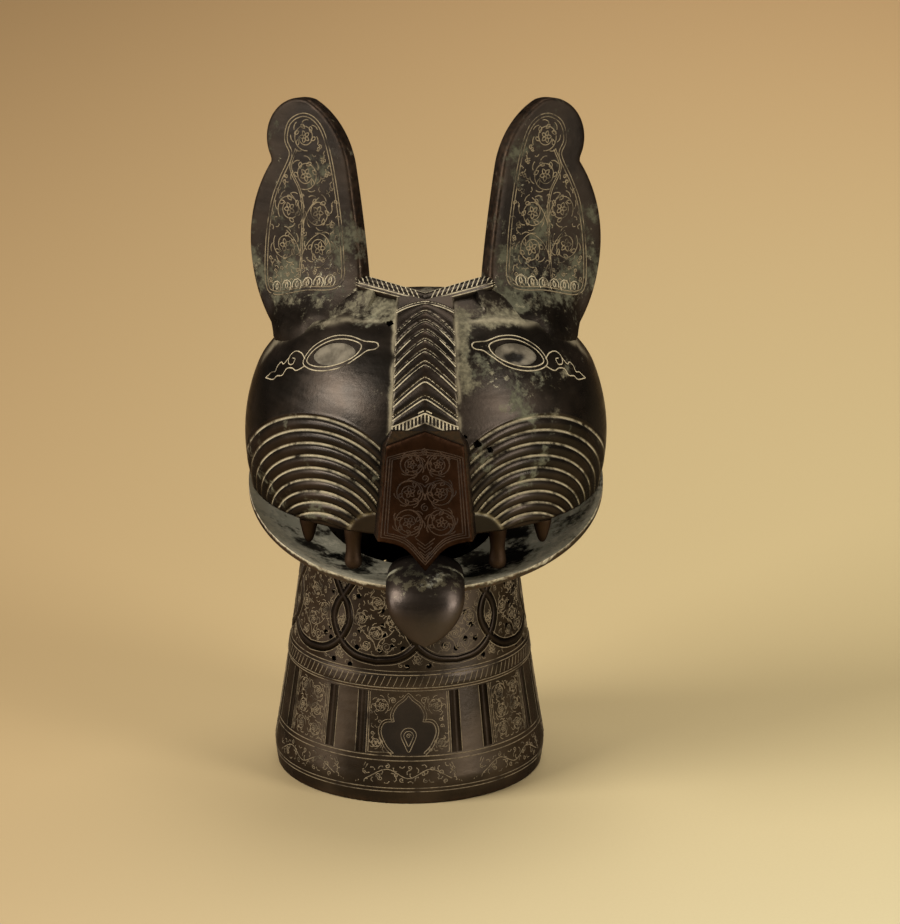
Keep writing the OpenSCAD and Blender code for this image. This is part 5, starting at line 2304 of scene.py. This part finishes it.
@dataclass
class NosePlate:
    """Copper-red plate over the snout with an ogee tip, double borders and vine coils."""

    shop: Workshop
    half_top: float = 12.8
    half_low: float = 15.7
    peak_z: float = 140.0
    shoulder_drop: float = 5.0
    tip: float = 10.4
    ogee: tuple = ((0, 1.0), (0.13, 0.757), (0.26, 0.49), (0.35, 0.345), (0.44, 0.227), (0.56, 0.14), (0.68, 0.076),
                   (0.85, 0.025), (1, 0))
    coils: tuple = ((5.4, 108.8, 4.5), (5.0, 119.2, 4.3), (4.4, 129.0, 3.7))
    thickness: float = 1.6

    def low_edge(self, share: Array) -> Array:
        """Height of the ogee lower edge at shares of the half width."""
        shares, drops = np.array(self.ogee).T
        return HEAD.lip_z - self.tip * np.interp(np.abs(share), shares, drops)

    def plan(self, across: Array, down: Array) -> tuple[Array, Array]:
        """Place on the plate for shares across (-1 to 1) and down (0 to 1).

        Args:
            across: Shares of the half width.
            down: Shares of the height.

        Returns:
            Places across and heights.
        """
        x = across * (self.half_top + (self.half_low - self.half_top) * down)
        top = self.peak_z - self.shoulder_drop * np.abs(across)
        return x, top + (self.low_edge(across) - top) * down

    def plate(self) -> Piece:
        """Make the plate with eased edges.

        Returns:
            The finished piece.
        """
        s = np.r_[-1, -0.975, np.linspace(-0.95, 0.95, 41), 0.975, 1][None]
        t = np.r_[0, 0.012, np.linspace(0.03, 0.97, 44), 0.988, 1][:, None]
        x, z = self.plan(*np.broadcast_arrays(s, t))
        patch = NosePatch(lift=0.0)
        front = patch.at(x, z)
        ease = np.maximum(1 - (1 - np.abs(s)) / 0.05, 0) + np.maximum(1 - np.minimum(t, 1 - t) / 0.03, 0)
        front[..., 1] += 0.45 * np.clip(ease, 0, 1) ** 2
        back = front.copy()
        back[..., 1] = -(patch.face_y - self.thickness)
        bag = MeshBag()
        f, b = bag.grid(front), bag.grid(back, flip=True)
        for edge_f, edge_b in ((f[0], b[0]), (f[-1], b[-1]), (f[:, 0], b[:, 0]), (f[:, -1], b[:, -1])):
            bag.quads(edge_f, edge_b)
        obj = bag.build("nose_copper_plate", 0.0, 60)
        place = positions(obj, HEAD.shift)
        high = self.peak_z - self.shoulder_drop * np.abs(place[:, 0]) / self.half_top
        paint(obj, rub=0.8 * bell(np.abs(place[:, 1]) - 66.9, 0.4) + 0.2 * bell(place[:, 2] - high + 0.6, 1.0))
        return self.shop.keep(obj, Body.HEAD, Slot.COPPER, self.shop.copper, "nose_plate")

    def lines(self) -> None:
        """Draw the borders, the coils and the hatched tip."""
        paths: list[Path] = []
        for inset in (0.06, 0.13, 0.19):
            across = np.linspace(-1 + inset, 1 - inset, 41)
            down = np.linspace(0.1 + inset * 0.3, 0.97 - inset * 0.35, 30)
            for edge in (-1 + inset, 1 - inset):
                paths.append(np.stack(self.plan(np.full(30, edge), down), 1))
            paths.append(np.stack(self.plan(across, np.full(41, down[-1])), 1))
            paths.append(np.stack(self.plan(across, np.full(41, down[0])), 1))
        for number, (x, z, r) in enumerate(self.coils):
            for sign in (-1, 1):
                paths += vine_scroll((sign * x, z), r, 90 + 180 * (sign > 0) + 40 * number, sign)
                paths.append(circle((sign * x, z), r, 26))
        paths += [spiral((0, 114.0), 1.5, 90, 1.4), spiral((0, 124.2), 1.4, 270, 1.4), spiral((0, 133.4), 1.2, 90, 1.4)]
        for k in range(6):
            z = 95.0 + 1.15 * k
            w = 0.7 + 0.5 * k
            paths.append(np.array([[-w, z + w * 0.8], [0, z], [w, z + w * 0.8]]))
        self.shop.engrave("nose_lines", NosePatch(), paths, Body.HEAD, Slot.COPPER, self.shop.copper_line, 0.42)

    def build(self) -> None:
        """Make the plate and its lines."""
        self.plate()
        self.lines()


@dataclass
class BarPatch(Patch):
    """Plan of one crown bar: a is the share of its length, b the angle of its section."""

    bars: "CrownBars"
    side: Side
    lift: float = 0.04
    core: float = -1.0

    def at(self, a: Array, b: Array) -> Array:
        """Places on the bar."""
        return self.bars.sweep(self.side, a, b, self.lift)

    def normal(self, a: Array, b: Array) -> Array:
        """Normals out of the bar."""
        return unit(self.at(a, b) - self.bars.sweep(self.side, a, b, self.core))


@dataclass
class CrownBars:
    """Two hatched bars that run from the top of the ridge back to the ears."""

    shop: Workshop
    radius: float = 3.0
    round_from: float = 0.76
    round_run: float = 0.25
    middle: tuple = (0.0, -33.0, 174.6)
    end: tuple = (23.5, -20.6, 177.4)

    def sweep(self, side: Side, share: Array, angle: Array, over: float = 0.0) -> Array:
        """Places round a bar at shares of its length and angles of its section.

        Args:
            side: Side of the head.
            share: Shares of the length.
            angle: Angles of the section.
            over: Height over the bar.

        Returns:
            The places.
        """
        a = np.array(self.middle)
        b = np.array(self.end) * np.array([side.value, 1, 1])
        way = (b - a) / np.linalg.norm(b - a)
        up = np.array([0, 0, 1.0]) - way * way[2]
        up /= np.linalg.norm(up)
        front = np.cross(way, up) * side.value
        taper = np.sqrt(np.maximum(1 - np.clip((share - self.round_from) / self.round_run, 0, 1) ** 2, 0.0))
        r = (self.radius + over) * (0.86 + 0.2 * share) * taper
        return (a + (b - a) * share[..., None] + r[..., None] * (np.cos(angle)[..., None] * up
                + np.sin(angle)[..., None] * front) + HEAD.aside)

    def build(self) -> None:
        """Make both bars as one piece, and their hatching."""
        bag = MeshBag()
        angle = np.linspace(0, 2 * math.pi, 28, endpoint=False)[None]
        share = np.linspace(-0.04, 1, 26)[:, None]
        share, angle = np.broadcast_arrays(share, angle)
        for side in Side:
            numbers = bag.grid(self.sweep(side, share, angle), wrap=True)
            bag.cap(numbers[0])
            bag.cap(numbers[-1], True)
        obj = bag.build("crown_hatched_bars")
        self.shop.keep(obj, Body.HEAD, Slot.BRONZE, self.shop.bronze, "crown_bar")
        for side in Side:
            run = np.linspace(0.02, 0.97, 12)
            paths = [np.stack([run, np.full_like(run, h)], 1) for h in (1.5, 1.15, -0.5)]
            for k in range(13):
                s = 0.05 + 0.07 * k
                paths.append(np.array([[s, 1.0], [s + 0.05, 0.5], [s + 0.1, 0.0], [s + 0.12, -0.4]]))
            self.shop.engrave(f"{side.word}_crown_hatching", BarPatch(self, side), paths, Body.HEAD, Slot.BRONZE, None,
                              0.42, 0.08)


# The mouth

@dataclass
class JawDish:
    """Thin shallow jaw that slopes forward, open at the throat."""

    shop: Workshop
    rim_c: tuple = (0.0, -6.0, 102.0)
    rim_r: float = 60.5
    tilt: float = 19.0
    throat_r: float = 30.5
    nape_gap: float = 1.0
    rim_ease: float = 0.25
    columns: int = 180

    def place(self, rho: Array, turn: Array, inner: bool) -> Array:
        """Places on the inside or the outside of the dish.

        Args:
            rho: Distances from the middle of the dish.
            turn: Angles from the front.
            inner: Whether the inside is meant.

        Returns:
            The places.
        """
        rise = math.sqrt(HEAD.dish_r ** 2 - self.rim_r ** 2)
        ball = HEAD.dish_r - (HEAD.jaw_t if inner else 0.0)
        lx, ly = rho * np.sin(turn), -rho * np.cos(turn)
        lz = rise - np.sqrt(ball ** 2 - rho ** 2)
        c, s = math.cos(math.radians(self.tilt)), math.sin(math.radians(self.tilt))
        return np.stack([lx, ly * c - lz * s, ly * s + lz * c], -1) + np.array(self.rim_c)

    def build(self) -> None:
        """Make the dish, corroded inside, paler towards the rim and darker to the right as painted light and shade,
        with a thin rubbed rim.
        """
        turn = np.linspace(0, 2 * math.pi, self.columns, endpoint=False)

        def over_throat(rho: Array) -> Array:
            """Whether places on the inside lie over the throat."""
            p = self.place(rho, turn, True)
            return np.hypot(p[:, 0] + HEAD.shift, p[:, 1]) < self.throat_r

        def within_nape(rho: Array) -> Array:
            """Whether places on the outside lie within the ball of the nape."""
            p = self.place(rho, turn, False)
            return np.linalg.norm(p - np.array(HEAD.nape), axis=1) < HEAD.nape_r + self.nape_gap

        edge = np.full_like(turn, self.rim_r)
        throat = crossing(np.full_like(turn, 5.0), edge, over_throat)[1]
        rim = crossing(throat, edge, within_nape)[0]
        share = np.r_[np.linspace(0, 0.97, 34), 0.99, 1.0]
        rho = [throat + (rim - throat) * t - self.rim_ease * (t == 1.0) for t in share]
        rings = [self.place(r, turn, True) for r in rho] + [self.place(r, turn, False) for r in rho[::-1]]
        bag = MeshBag()
        numbers = bag.grid(np.array(rings), wrap=True)
        bag.quads(numbers[-1], numbers[0], wrap=True)
        obj = bag.build("jaw_dish", HEAD.shift)
        place = positions(obj, HEAD.shift)
        upper = np.linalg.norm(place - np.array(HEAD.dish), axis=1) < HEAD.dish_r - 1.0
        rim = np.linalg.norm(place - np.array(self.rim_c), axis=1) / self.rim_r
        ragged = 0.25 * wobble(place, 3.1) + 0.25 * wobble(place, 8.0)
        # Partly painted light: paler towards the rim and less pale to the right, standing in for the light on the jaw's
        # left front rim; the ragged part is real corrosion.
        pale = step(0.8, 0.96, rim) - 0.45 * step(8, 26, place[:, 0])
        paint(obj, crust=np.where(upper, 0.46 + 0.25 * pale + ragged, -0.25),
              film=np.where(upper, 0.3 + 0.62 * pale - ragged, -0.1), rub=step(0.985, 1.0, rim))
        self.shop.keep(obj, Body.HEAD, Slot.BRONZE, self.shop.jaw_bronze_painted_light, "lower_jaw")


@dataclass
class Tongue:
    """Tongue that lies on the dish, turns over its rim and hangs in a polished dome."""

    shop: Workshop
    half: float = 13.1
    root: tuple = (-38.5, 87.3)
    control: tuple = (-76.6, 100.0)
    tip: tuple = (-73.0, 67.2)
    dome: float = 5.2

    def build(self) -> None:
        """Make the tongue as a sweep of domed sections."""
        t = np.r_[np.linspace(0, 0.5, 24), np.linspace(0.5, 1, 46)[1:]]
        a, b, c = (np.array(p) for p in (self.root, self.control, self.tip))
        path = ((1 - t) ** 2)[:, None] * a + (2 * t * (1 - t))[:, None] * b + (t ** 2)[:, None] * c
        run = unit(np.gradient(path, axis=0))
        up = np.stack([run[:, 1], -run[:, 0]], 1)
        fall = np.clip((t - 0.6) / 0.4, 0, 1)
        width = self.half * np.sqrt(np.maximum(1 - fall ** 2.8, 0.0)) * (0.93 + 0.07 * np.minimum(t / 0.4, 1))
        width = np.maximum(width, 0.02)
        s = np.linspace(-1, 1, 41)[None]
        x = width[:, None] * np.sign(s) * np.abs(s) ** 0.9
        full = (width / self.half)[:, None] ** 0.5
        top_n = full * self.dome * (np.maximum(1 - np.abs(s) ** 2.1, 0) ** 0.62 - 1) + 0.5
        low_n = -full * (self.dome + 0.9 * (1 - s ** 2)) + 0.5

        def lay(n: Array) -> Array:
            """Places at heights over the path."""
            return np.stack([x, path[:, 0, None] + n * up[:, 0, None], path[:, 1, None] + n * up[:, 1, None]], -1)

        obj = tube("tongue_blade", np.concatenate([lay(top_n), lay(low_n)[:, ::-1]], 1), HEAD.shift, 60)
        place = positions(obj, HEAD.shift)
        turn_z = bell(place[:, 2] - 88, 4.5) * (place[:, 1] < -58)
        paint(obj, crust=0.62 * turn_z + 0.3 * (place[:, 1] > -60))
        self.shop.keep(obj, Body.HEAD, Slot.BRONZE, self.shop.tongue_bronze, "tongue")
        self.shop.dress("tongue_rivet", self.shop.jaw_bronze_painted_light)


@dataclass
class Fangs:
    """Four fangs pinned in the lip: bulbed inner ones and conical outer ones."""

    shop: Workshop
    ring_r: float = 58.15
    shank_r: float = 1.3
    shank_l: float = 4.0
    inner_x: float = 24.0
    outer_x: float = 39.0
    inner: tuple = ((2.9, 0.0), (2.85, -1.2), (2.5, -4.5), (2.35, -7.0), (2.55, -9.2), (2.8, -10.9), (2.6, -12.6),
                    (1.7, -13.7), (0.05, -14.0))
    outer: tuple = ((3.3, 0.0), (3.25, -1.0), (2.7, -3.4), (2.1, -5.6), (1.5, -7.2), (0.8, -8.2), (0.05, -8.4))

    def build(self) -> None:
        """Turn each fang on its own axis under the lip."""
        for side in Side:
            for word, x, profile in (("inner", self.inner_x, self.inner), ("outer", self.outer_x, self.outer)):
                back = math.sqrt(self.ring_r ** 2 - (HEAD.ball[2] - HEAD.lip_z) ** 2 - x * x)
                line = smooth_path(list(profile), 0.5)
                shank = [(0.05, self.shank_l), (self.shank_r, self.shank_l - 0.1), (self.shank_r, 0.0)]
                line = np.vstack([shank, line])
                angle = np.linspace(0, 2 * math.pi, 28, endpoint=False)
                squash = 1 + 0.05 * np.sin(2 * angle + x)
                rings = around(line[:, :1], angle, line[:, 1:])
                rings[..., 0] *= squash
                rings = rings + np.array([side.value * x, HEAD.ball[1] - back, HEAD.lip_z])
                obj = tube(f"{side.word}_{word}_tooth", rings, HEAD.shift, 50)
                self.shop.keep(obj, Body.HEAD, Slot.COPPER, self.shop.fang_copper, f"{side.word}_{word}_fang")


# The stage

@dataclass
class Studio:
    """Pale paper floor with painted light and shade, soft lamps and a camera that looks down at the front."""

    elevation: float = 18.5
    distance: float = 1900.0
    aim: tuple = (14.0, 0.0, 107.3)
    focal_px: float = 5567.0
    image_h: float = 924.0
    # Painted light and shade on the paper: dark spots under the lamps, a darker left side and a tan gradient from front
    # to back are painted into its colour.
    lamp_feet: tuple = ((-1.5, -0.65), (1.3, -1.05))
    painted_shade_paper: Colour = (0.13, 0.1, 0.058)
    left_painted_shade_paper: Colour = (0.42, 0.275, 0.132)
    near_paper: Colour = (0.71, 0.645, 0.41)
    right_paper: Colour = (0.60, 0.49, 0.265)
    far_paper: Colour = (0.75, 0.51, 0.26)
    fibre: Colour = (0.4, 0.3, 0.2)
    room: Colour = (0.60, 0.47, 0.31)
    room_strength: float = 0.26
    lamps: tuple = (("key_softbox", (-1.5, -0.74, 1.02), (1.15, 0.6), 34.0, (1.0, 0.96, 0.9)),
                    ("fill_softbox", (1.35, -0.95, 0.9), (0.6, 0.9), 13.0, (1.0, 0.95, 0.88)),
                    ("left_card", (-1.62, -0.53, 0.27), (0.4, 0.5), 6.0, (1.0, 0.97, 0.94)),
                    ("right_card", (1.3, -1.09, 0.27), (0.55, 0.5), 9.0, (1.0, 0.97, 0.94)),
                    ("top_softbox", (0.2, 0.45, 1.5), (0.9, 0.9), 11.0, (1.0, 0.96, 0.9)))

    def camera(self) -> None:
        """Set the camera at the photograph's angle."""
        e = math.radians(self.elevation)
        look = Vector((0, math.cos(e), -math.sin(e)))
        data = bpy.data.cameras.new("front_camera")
        data.sensor_width = 36.0
        data.sensor_fit = "AUTO"
        data.lens = self.focal_px / self.image_h * data.sensor_width
        obj = bpy.data.objects.new("front_camera", data)
        obj.location = Vector(self.aim) * MM - look * self.distance * MM
        obj.rotation_euler = look.to_track_quat("-Z", "Y").to_euler()
        bpy.context.scene.collection.objects.link(obj)
        bpy.context.scene.camera = obj

    def floor(self) -> None:
        """Make the paper that the object stands on: a wide flat round whose colour holds painted light and shade."""
        reach = np.r_[0.0, 0.3, 0.8, 1.6, 3.2][:, None] / MM
        turn = np.linspace(0, 2 * math.pi, 96, endpoint=False)[None]
        bag = MeshBag()
        bag.grid(around(reach, turn, -0.05), wrap=True)
        obj = bag.build("paper_floor", 0.0, 60)
        if obj.data.polygons[0].normal.z < 0:
            obj.data.flip_normals()
        material, tree, shader = new_material("tan_paper")
        place = add_node(tree, "ShaderNodeTexCoord").outputs["Object"]
        grain = add_node(tree, "ShaderNodeTexNoise", {"Vector": place, "Scale": 900.0, "Detail": 2.0}).outputs["Fac"]
        apart = add_node(tree, "ShaderNodeSeparateXYZ", {0: place})
        # Painted falloff: a tan gradient from front to back, then darker to the left.
        sheet = mix(tree, ramp(tree, apart.outputs["Y"], -0.35, 0.15), self.near_paper, self.right_paper)
        sheet = mix(tree, ramp(tree, apart.outputs["Y"], 0.15, 1.3), sheet, self.far_paper)
        sheet = mix(tree, ramp(tree, apart.outputs["X"], -0.4, 0.24), self.left_painted_shade_paper, sheet)
        # Painted shade: the paper is painted dark under each lamp.
        for x, y in self.lamp_feet:
            far = add_node(tree, "ShaderNodeVectorMath", {0: place, 1: (x, y, 0.0)}, operation="DISTANCE")
            sheet = mix(tree, ramp(tree, far.outputs["Value"], 0.3, 1.25), self.painted_shade_paper, sheet)
        tone = mix(tree, math_node(tree, "MULTIPLY", ramp(tree, grain, 0.2, 0.8), 0.05), sheet, self.fibre)
        tree.links.new(tone, shader.inputs["Base Color"])
        shader.inputs["Roughness"].default_value = 0.9
        shader.inputs["Specular IOR Level"].default_value = 0.1
        obj.data.materials.append(material)

    def lamp(self, name: str, place: tuple, size: tuple, power: float, colour: Colour) -> None:
        """Add a soft lamp that looks at the object.

        Args:
            name: Name of the lamp.
            place: Where it hangs, in metres.
            size: Its width and height in metres.
            power: Its power in watts.
            colour: Colour of its light.
        """
        data = bpy.data.lights.new(name, "AREA")
        data.shape = "RECTANGLE"
        data.size, data.size_y = size
        data.energy = power
        data.color = colour
        obj = bpy.data.objects.new(name, data)
        obj.visible_camera = False
        obj.location = place
        obj.rotation_euler = (Vector((0, 0, 0.1)) - Vector(place)).to_track_quat("-Z", "Y").to_euler()
        bpy.context.scene.collection.objects.link(obj)

    def build(self) -> None:
        """Set up the camera, the paper, the lamps and the room light."""
        self.camera()
        self.floor()
        for row in self.lamps:
            self.lamp(*row)
        world = bpy.data.worlds.new("room")
        world.use_nodes = True
        light = world.node_tree.nodes["Background"]
        light.inputs["Color"].default_value = (*self.room, 1.0)
        light.inputs["Strength"].default_value = self.room_strength
        bpy.context.scene.world = world
        bpy.context.scene.view_settings.view_transform = "Standard"


def dress_inside(shop: Workshop) -> None:
    """Give the fire cup, the base plate and the hinge their finishes.

    Args:
        shop: The workshop.
    """
    for node in ("fire_cup", "base_plate"):
        shop.dress(node, shop.soot)
    for node in ("hinge_bracket", "bracket_rivets", "hinge_pin", "left_hinge_lug", "right_hinge_lug"):
        shop.dress(node, shop.worn)


def main() -> None:
    """Build the stage and every piece."""
    logging.basicConfig(level=logging.INFO, format="%(message)s")
    shop = Workshop()
    Studio().build()
    NeckCasting(shop).build()
    FaceCasting(shop).build()
    Ears(shop).build()
    BrowRidge(shop).build()
    NosePlate(shop).build()
    CrownBars(shop).build()
    JawDish(shop).build()
    Tongue(shop).build()
    Fangs(shop).build()
    dress_inside(shop)
    LOG.info("%d pieces", len(shop.pieces))


if __name__ == "__main__":
    main()
